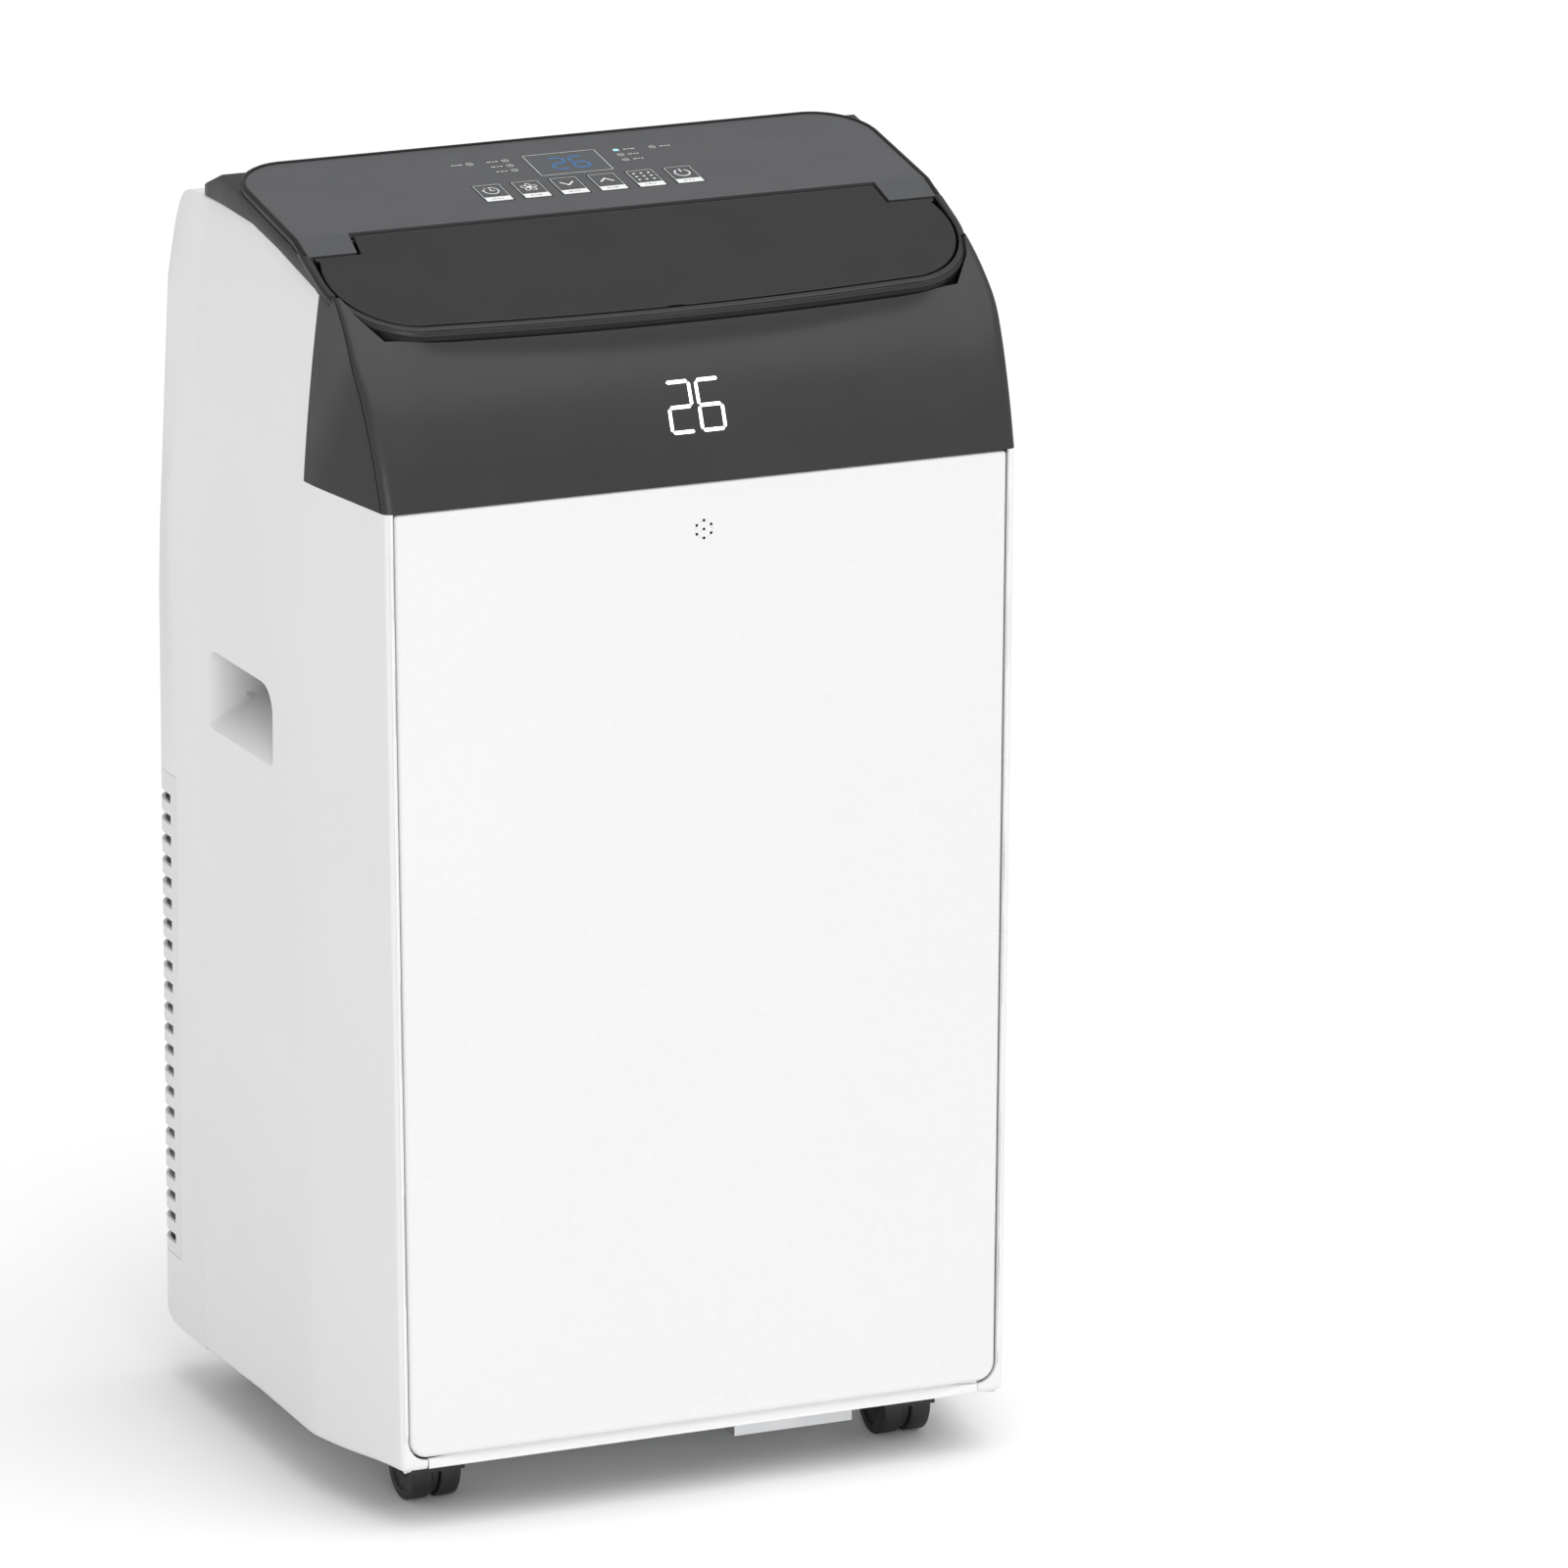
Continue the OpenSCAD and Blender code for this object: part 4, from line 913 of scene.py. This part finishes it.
def petal(x, v, a):
    """A fan blade's outline: an ellipse that points away from the centre."""
    c, s = cos(a), sin(a)
    oval = [(3.4 + 2.3 * cos(t), 1.55 * sin(t)) for t in range(0, 360, 24)]
    return [(x + c * along - s * across, v + s * along + c * across) for along, across in oval]


def icon(ink, kind, x, v):
    """A key's symbol in thin lines and dots, round a centre."""
    if kind == "timer":
        ink.line(arc(x, v, 5.0, -190, 95, 34), 0.75)
        for a in (120, 140, 160):
            ink.line(arc(x, v, 5.0, a - 4, a + 4, 3), 0.75)
        ink.line([(x, v + 3.4), (x, v - 0.2), (x + 2.6, v - 0.2)], 0.75)
        ink.shape([(x - 6.4, v + 1.2), (x - 3.8, v + 1.2), (x - 5.1, v - 1.0)])
    elif kind == "fan":
        for k in range(5):
            ink.line(petal(x, v, 90 + 72 * k), 0.6, closed=True)
        ink.dot(x, v, 0.9)
    elif kind == "down":
        ink.line([(x - 4.6, v + 2.6), (x, v - 2.4), (x + 4.6, v + 2.6)], 1.2)
    elif kind == "up":
        ink.line([(x - 4.6, v - 2.6), (x, v + 2.4), (x + 4.6, v - 2.6)], 1.2)
    elif kind == "mode":
        for i in (-1, 0, 1):
            for j in (-1, 0, 1):
                ink.dot(x + 5.2 * i, v + 4.9 * j, 0.95)
    elif kind == "power":
        ink.line(arc(x, v - 0.4, 5.0, 122, 418, 34), 0.95)
        ink.line([(x, v + 5.8), (x, v + 0.9)], 0.95)


# Rounded edges as (distance in from the outline, height above the plate)
KEY_EDGE = [(0, -6.2), (0, -0.35), (0.12, -0.05), (0.4, 0.14), (0.8, KEY_TOP), (1.1, KEY_TOP)]
WINDOW_EDGE = [(0, -1.6), (0, -0.12), (0.12, -0.02), (0.4, 0.02), (0.8, 0.02)]


def raised(loop, edge):
    """Rings of a flat cap on the control plate, with a rounded edge."""
    return [[on_plate(u, v, out) for u, v in inset(loop, d)] for d, out in edge]


def key_cap(kind, x):
    """A key with its printed frame, its icon and a white bar that carries a row of dashes."""
    rings = raised(rounded_box(x, KEY_V, KEY_W, KEY_L, 1.3), KEY_EDGE)
    verts, faces = lattice(rings, closed=True)
    n = len(rings[0])
    faces += [tuple(range(len(verts) - n, len(verts))), tuple(range(n))[::-1]]
    foot = KEY_V - KEY_L / 2
    ink = Print(on_plate, KEY_TOP + 0.05)
    ink.line(rounded_box(x, KEY_V, KEY_W - 1.3, KEY_L - 1.3, 0.8), 0.34, closed=True)
    ink.shape(rounded_box(x, foot + 3.7, KEY_W - 1.0, 6.4, 0.7))
    icon(ink, kind, x, KEY_V + 3.4)
    dashes = Print(on_plate, KEY_TOP + 0.09)
    at = x - 4.6
    for length in rng.choice([(2.2, 1.2, 2.8), (1.4, 2.6, 1.8), (3.0, 1.6, 1.6)]):
        dashes.line([(at, foot + 3.9), (at + length, foot + 3.9)], 0.8)
        at += length + 0.9
    first, second = len(faces), len(faces) + len(ink.faces)
    verts, faces = join((verts, faces), (ink.verts, ink.faces), (dashes.verts, dashes.faces))
    piece(f"key_cap_{kind}", verts, faces, KEY, body=f"key_{kind}", stands_for=[f"key_{kind}"],
          slot="key_print", extra=[(range(first, second), PRINT), (range(second, len(faces)), KEY)])


for x, kind in zip(key_xs, ("timer", "fan", "down", "up", "mode", "power")):
    key_cap(kind, x)

# Display window with its printed frame and dim digits
rings = raised(rounded_box(0, WINDOW_V, WINDOW_W, WINDOW_L, 1.1), WINDOW_EDGE)
verts, faces = lattice(rings, closed=True)
faces.append(tuple(range(len(verts) - len(rings[0]), len(verts))))
piece("display_window", verts, faces, LENS, stands_for=["panel_display"], slot="display_lens")


def on_window(x, v, out):
    return on_plate(x, v, 0.04 + out * 0.2)


verts, faces = digits("26", on_window, -11.0, 67.4, 10.0, 17.6, 4.6, 2.2)
piece("panel_digits", verts, faces, BLUE, slot="display_lens", flat=True)

# Indicator lamps as (x, v, side of their label); one of them is lit
LEDS = [(-63.8, 88.2, -1)] + [(-38.6, v, -1) for v in (88.4, 80.4, 72.4)]
LEDS += [(39.8, v, 1) for v in (88.6, 80.6, 72.4)] + [(65.4, 88.2, 1)]
LIT_LED = 4
ink, lit = Print(on_plate, 0.07), Print(on_plate, 0.07)
ink.line(rounded_box(0.4, 76.2, 50.6, 33.0, 0.6), 0.4, closed=True)
for k, (x, v, side) in enumerate(LEDS):
    ink.line(rounded_box(x, v, 3.9, 3.3, 0.9), 0.36, closed=True)
    if k == LIT_LED:
        lit.shape(rounded_box(x, v, 2.9, 2.3, 0.6))
    else:
        ink.line([(x - 0.9, v - 0.5), (x + 0.9, v + 0.5)], 0.4)
    at = x + side * 5.2
    for length in rng.choice([(2.0, 1.3, 3.1), (1.5, 2.4, 2.2), (2.8, 1.2, 1.9)]):
        ink.line([(at, v), (at + side * length, v)], 0.75)
        at += side * (length + 0.8)
piece("plate_print", ink.verts, ink.faces, PRINT, slot="plate_grey", flat=True)
piece("indicator_lamp", lit.verts, lit.faces, CYAN, slot="display_lens", flat=True)


# Bead of the top cover round the flap, and the black edge round the control plate
def rim_line(out):
    """From the cover's side to the middle of its front, at a distance outside the flap's rounded corner."""
    line = [(OPEN_X + FLAP_R + out, y) for y in (-70, -78, -86, -94)]
    line += arc(OPEN_X, OPEN_Y, FLAP_R + out, 0, -84, 34)
    return line + [(x, flap_front(x) - out) for x in (160, 140, 120, 100, 80, 60, 40, 20, 10, 0)]


def swept(line_at, profile, height):
    """Sweeps a profile of (distance out, height) along both halves of a line."""
    lines = [line_at(out) for out, _ in profile]
    rows = []
    for places in zip(*lines):
        rows.append([(x, y, height(y) + rise) for (x, y), (_, rise) in zip(places, profile)])
    rows += [other_side(row) for row in reversed(rows[:-1])]
    return lattice(rows, flip=True)


BEAD_PROFILE = [(1.75, -2.6), (1.75, -0.5), (1.95, 0.0), (2.5, 0.3), (3.6, 0.42), (4.7, 0.3), (5.6, -0.1),
                (6.3, -0.9), (6.6, -2.0), (6.5, -3.2), (6.0, -4.2), (5.2, -4.6)]
verts, faces = swept(rim_line, BEAD_PROFILE, flap_z)
piece("rim_bead", verts, faces, BEAD_BLACK, slot="flap_dark", thick=0.8)


def plate_line(out):
    """The control plate's edge from the middle of its rear to its front corner."""
    line = [(x, PLATE_Y + PLATE_R + out) for x in (0, 60, 120, 160)]
    line += arc(PLATE_X, PLATE_Y, PLATE_R + out, 90, 0, 24)
    return line + [(PLATE_HALF + out, y) for y in (10, -10, -30, -50, -60, -76)]


TRIM = [(-1.3, 0.06), (-1.2, 0.30), (-0.7, 0.42), (0.2, 0.36), (0.9, -0.1), (1.2, -1.0), (1.2, -3.6)]
verts, faces = swept(lambda out: plate_line(out)[::-1], TRIM, deck_z)
piece("plate_edge", verts, faces, RIM_AND_GROOVE_SHADE, slot="flap_dark", thick=0.5)

# -------------------- outlet flap
AXIS_Y, AXIS_Z = -62.152, 819.881
half = [(182.5, AXIS_Y), (184.5, -79.2), (215.4, -79.2), (216.6, -79.7), (217.3, -80.8)]
half += arc(OPEN_X, OPEN_Y, FLAP_R, 22, -84, 34)
half += [(x, flap_front(x)) for x in range(160, 9, -10)] + [(6.0, -157), (5.0, -156.1)]
points, faces = flat_fill([anticlockwise(mirrored(half))])
verts = [(x, y, flap_z(y)) for x, y in points]
piece("flap_skin", verts, faces, FLAP, body="flap", stands_for=["flap"], slot="flap_dark", thick=2.8,
      edge=0.9, angle=50, segments=4)


def rod(x0, x1, y, z, r, n, clip=None):
    """A rod along X with rounded ends; clip(y) caps its height."""
    rows = []
    for x, rr in [(x0, 0.0), (x0, r * 0.8), (x0 + r * 0.2, r), (x1 - r * 0.2, r), (x1, r * 0.8), (x1, 0.0)]:
        ring = []
        for i in range(n):
            a = 2 * math.pi * i / n
            yy, zz = y + rr * math.cos(a), z + rr * math.sin(a)
            ring.append((x, yy, min(zz, clip(yy)) if clip else zz))
        rows.append(ring)
    return lattice(rows, closed=True)


def bar(x0, x1, y, z_top, z_low, t):
    """A stiffening rib along X with a tapered foot."""
    section = [(y - t / 2, z_top), (y - t * 0.35, z_low + 0.4), (y, z_low)]
    section += [(y + t * 0.35, z_low + 0.4), (y + t / 2, z_top)]
    places = (x0, x0 + (x1 - x0) * 0.25, (x0 + x1) / 2, x1 - (x1 - x0) * 0.25, x1)
    return lattice([[(x, *point) for point in section] for x in places])


parts = [rod(-182.2, 182.2, AXIS_Y, AXIS_Z, 3.9, 24, clip=lambda y: flap_z(y) - 0.6)]
parts += [rod(178.5, 190, AXIS_Y, AXIS_Z, 1.6, 16), rod(-190, -178.5, AXIS_Y, AXIS_Z, 1.6, 16)]
parts += [bar(-150, 150, y, flap_z(y) - 1.5, flap_z(y) - 7, 2.2) for y in (-146, -112)]
verts, faces = join(*parts)
piece("flap_hinge_bar", verts, faces, FLAP, body="flap", slot="flap_dark")


# -------------------- coils and filter mesh
def block(x, y, z):
    """An axis-aligned block from its three spans."""
    verts = [(a, b, c) for c in z for b in y for a in x]
    return verts, [(0, 2, 3, 1), (4, 5, 7, 6), (0, 1, 5, 4), (2, 6, 7, 3), (0, 4, 6, 2), (1, 3, 7, 5)]


def tube(path, r):
    """A round tube along a path of points."""
    n = 10
    rows = []
    for i, p in enumerate(path):
        ahead = (Vector(path[min(i + 1, len(path) - 1)]) - Vector(path[max(i - 1, 0)])).normalized()
        side = ahead.cross(Vector((0, 0, 1)) if abs(ahead.z) < 0.9 else Vector((0, 1, 0))).normalized()
        up = side.cross(ahead)
        ring = []
        for k in range(n):
            turn = 2 * math.pi * k / n
            ring.append(tuple(Vector(p) + r * (math.cos(turn) * side + math.sin(turn) * up)))
        rows.append(ring)
    verts, faces = lattice(rows, closed=True)
    return verts, faces + [tuple(range(n))[::-1], tuple(range(len(verts) - n, len(verts)))]


def coil(name, half, y, z, bends):
    """Thin fins between two end plates, crossed by copper tubes with return bends."""
    fins = []
    x = -half + 1.2
    while x < half:
        lean = rng.uniform(-0.12, 0.12)
        fins.append(block((x + lean, x + lean + 0.35), (y[0] + 0.4, y[1] - 0.4), (z[0] + 1, z[1] - 1)))
        x += 2.4
    piece(name + "_fins", *join(*fins), FINS, stands_for=[name], slot="fin_aluminium", flat=True)
    plates = []
    for x in ((-half - 1.4, -half), (half, half + 1.4)):
        plates.append(block(x, (y[0] - 1.9, y[1] + 1.9), (z[0] + 0.1, z[1] - 0.1)))
    piece(name + "_end_plates", *join(*plates), ZINC, slot="fin_aluminium", edge=0.25)
    tubes = []
    middle, step = (y[0] + y[1]) / 2, (z[1] - z[0]) / bends
    for i in range(bends):
        centre = z[0] + step * (i + 0.5)
        for sign in (-1, 1):
            bow = [(sign * (half + 1.2 + step * 0.3 * sin(a)), middle, centre - step * 0.3 * cos(a))
                   for a in range(0, 181, 15)]
            tubes.append(tube(bow, 3.5))
        for end in (-0.3, 0.3):
            height = z[0] + step * (i + 0.5 + end)
            tubes.append(tube([(x, middle, height) for x in (-half - 1, 0, half + 1)], 3.4))
    piece(name + "_tubes", *join(*tubes), COPPER, slot="fin_aluminium")


coil("evaporator_coil", 170, (96, 122), (453, 745), 8)
coil("condenser_coil", 180, (142, 168), (78, 272), 6)


def rear_at(z):
    """Y of the casing's rear face."""
    if z < 530:
        return bend(194.5, 193.5, 180.5, max(0, min(1, (z - 360) / 170)))
    return 180.5 - 40.5 * ((z - 530) / 291.5)


THREAD, THREAD_PITCH = 0.35, 5
mesh_zs = [480 + THREAD_PITCH * i for i in range(51)]


def upright(x):
    """A thread of the filter's mesh that follows the rear face upwards."""
    section = [(x - THREAD, -4.3), (x - THREAD, -3.9), (x + THREAD, -3.9), (x + THREAD, -4.3)]
    return lattice([[(u, rear_at(z) + v, z) for u, v in section] for z in mesh_zs], closed=True)


def level(z):
    """A thread of the filter's mesh that runs across at one height."""
    section = [(-4.2, z - THREAD), (-4.2, z + THREAD), (-3.8, z + THREAD), (-3.8, z - THREAD)]
    places = (-151, -75, 0, 75, 151)
    return lattice([[(x, rear_at(z) + v, w) for v, w in section] for x in places], closed=True)


threads = [upright(-150 + THREAD_PITCH * i) for i in range(61)] + [level(z) for z in mesh_zs]
piece("filter_mesh", *join(*threads), MESH, body="filter_cassette", slot="white_shell", flat=True)

# -------------------- floor
FLOOR_HALF = 15
mesh = bpy.data.meshes.new("floor")
corners = [(x * FLOOR_HALF, y * FLOOR_HALF, 0) for x, y in ((-1, -1), (1, -1), (1, 1), (-1, 1))]
mesh.from_pydata(corners, [], [(0, 1, 2, 3)])
mesh.materials.append(FLOOR)
floor = bpy.data.objects.new("floor", mesh)
scene.collection.objects.link(floor)
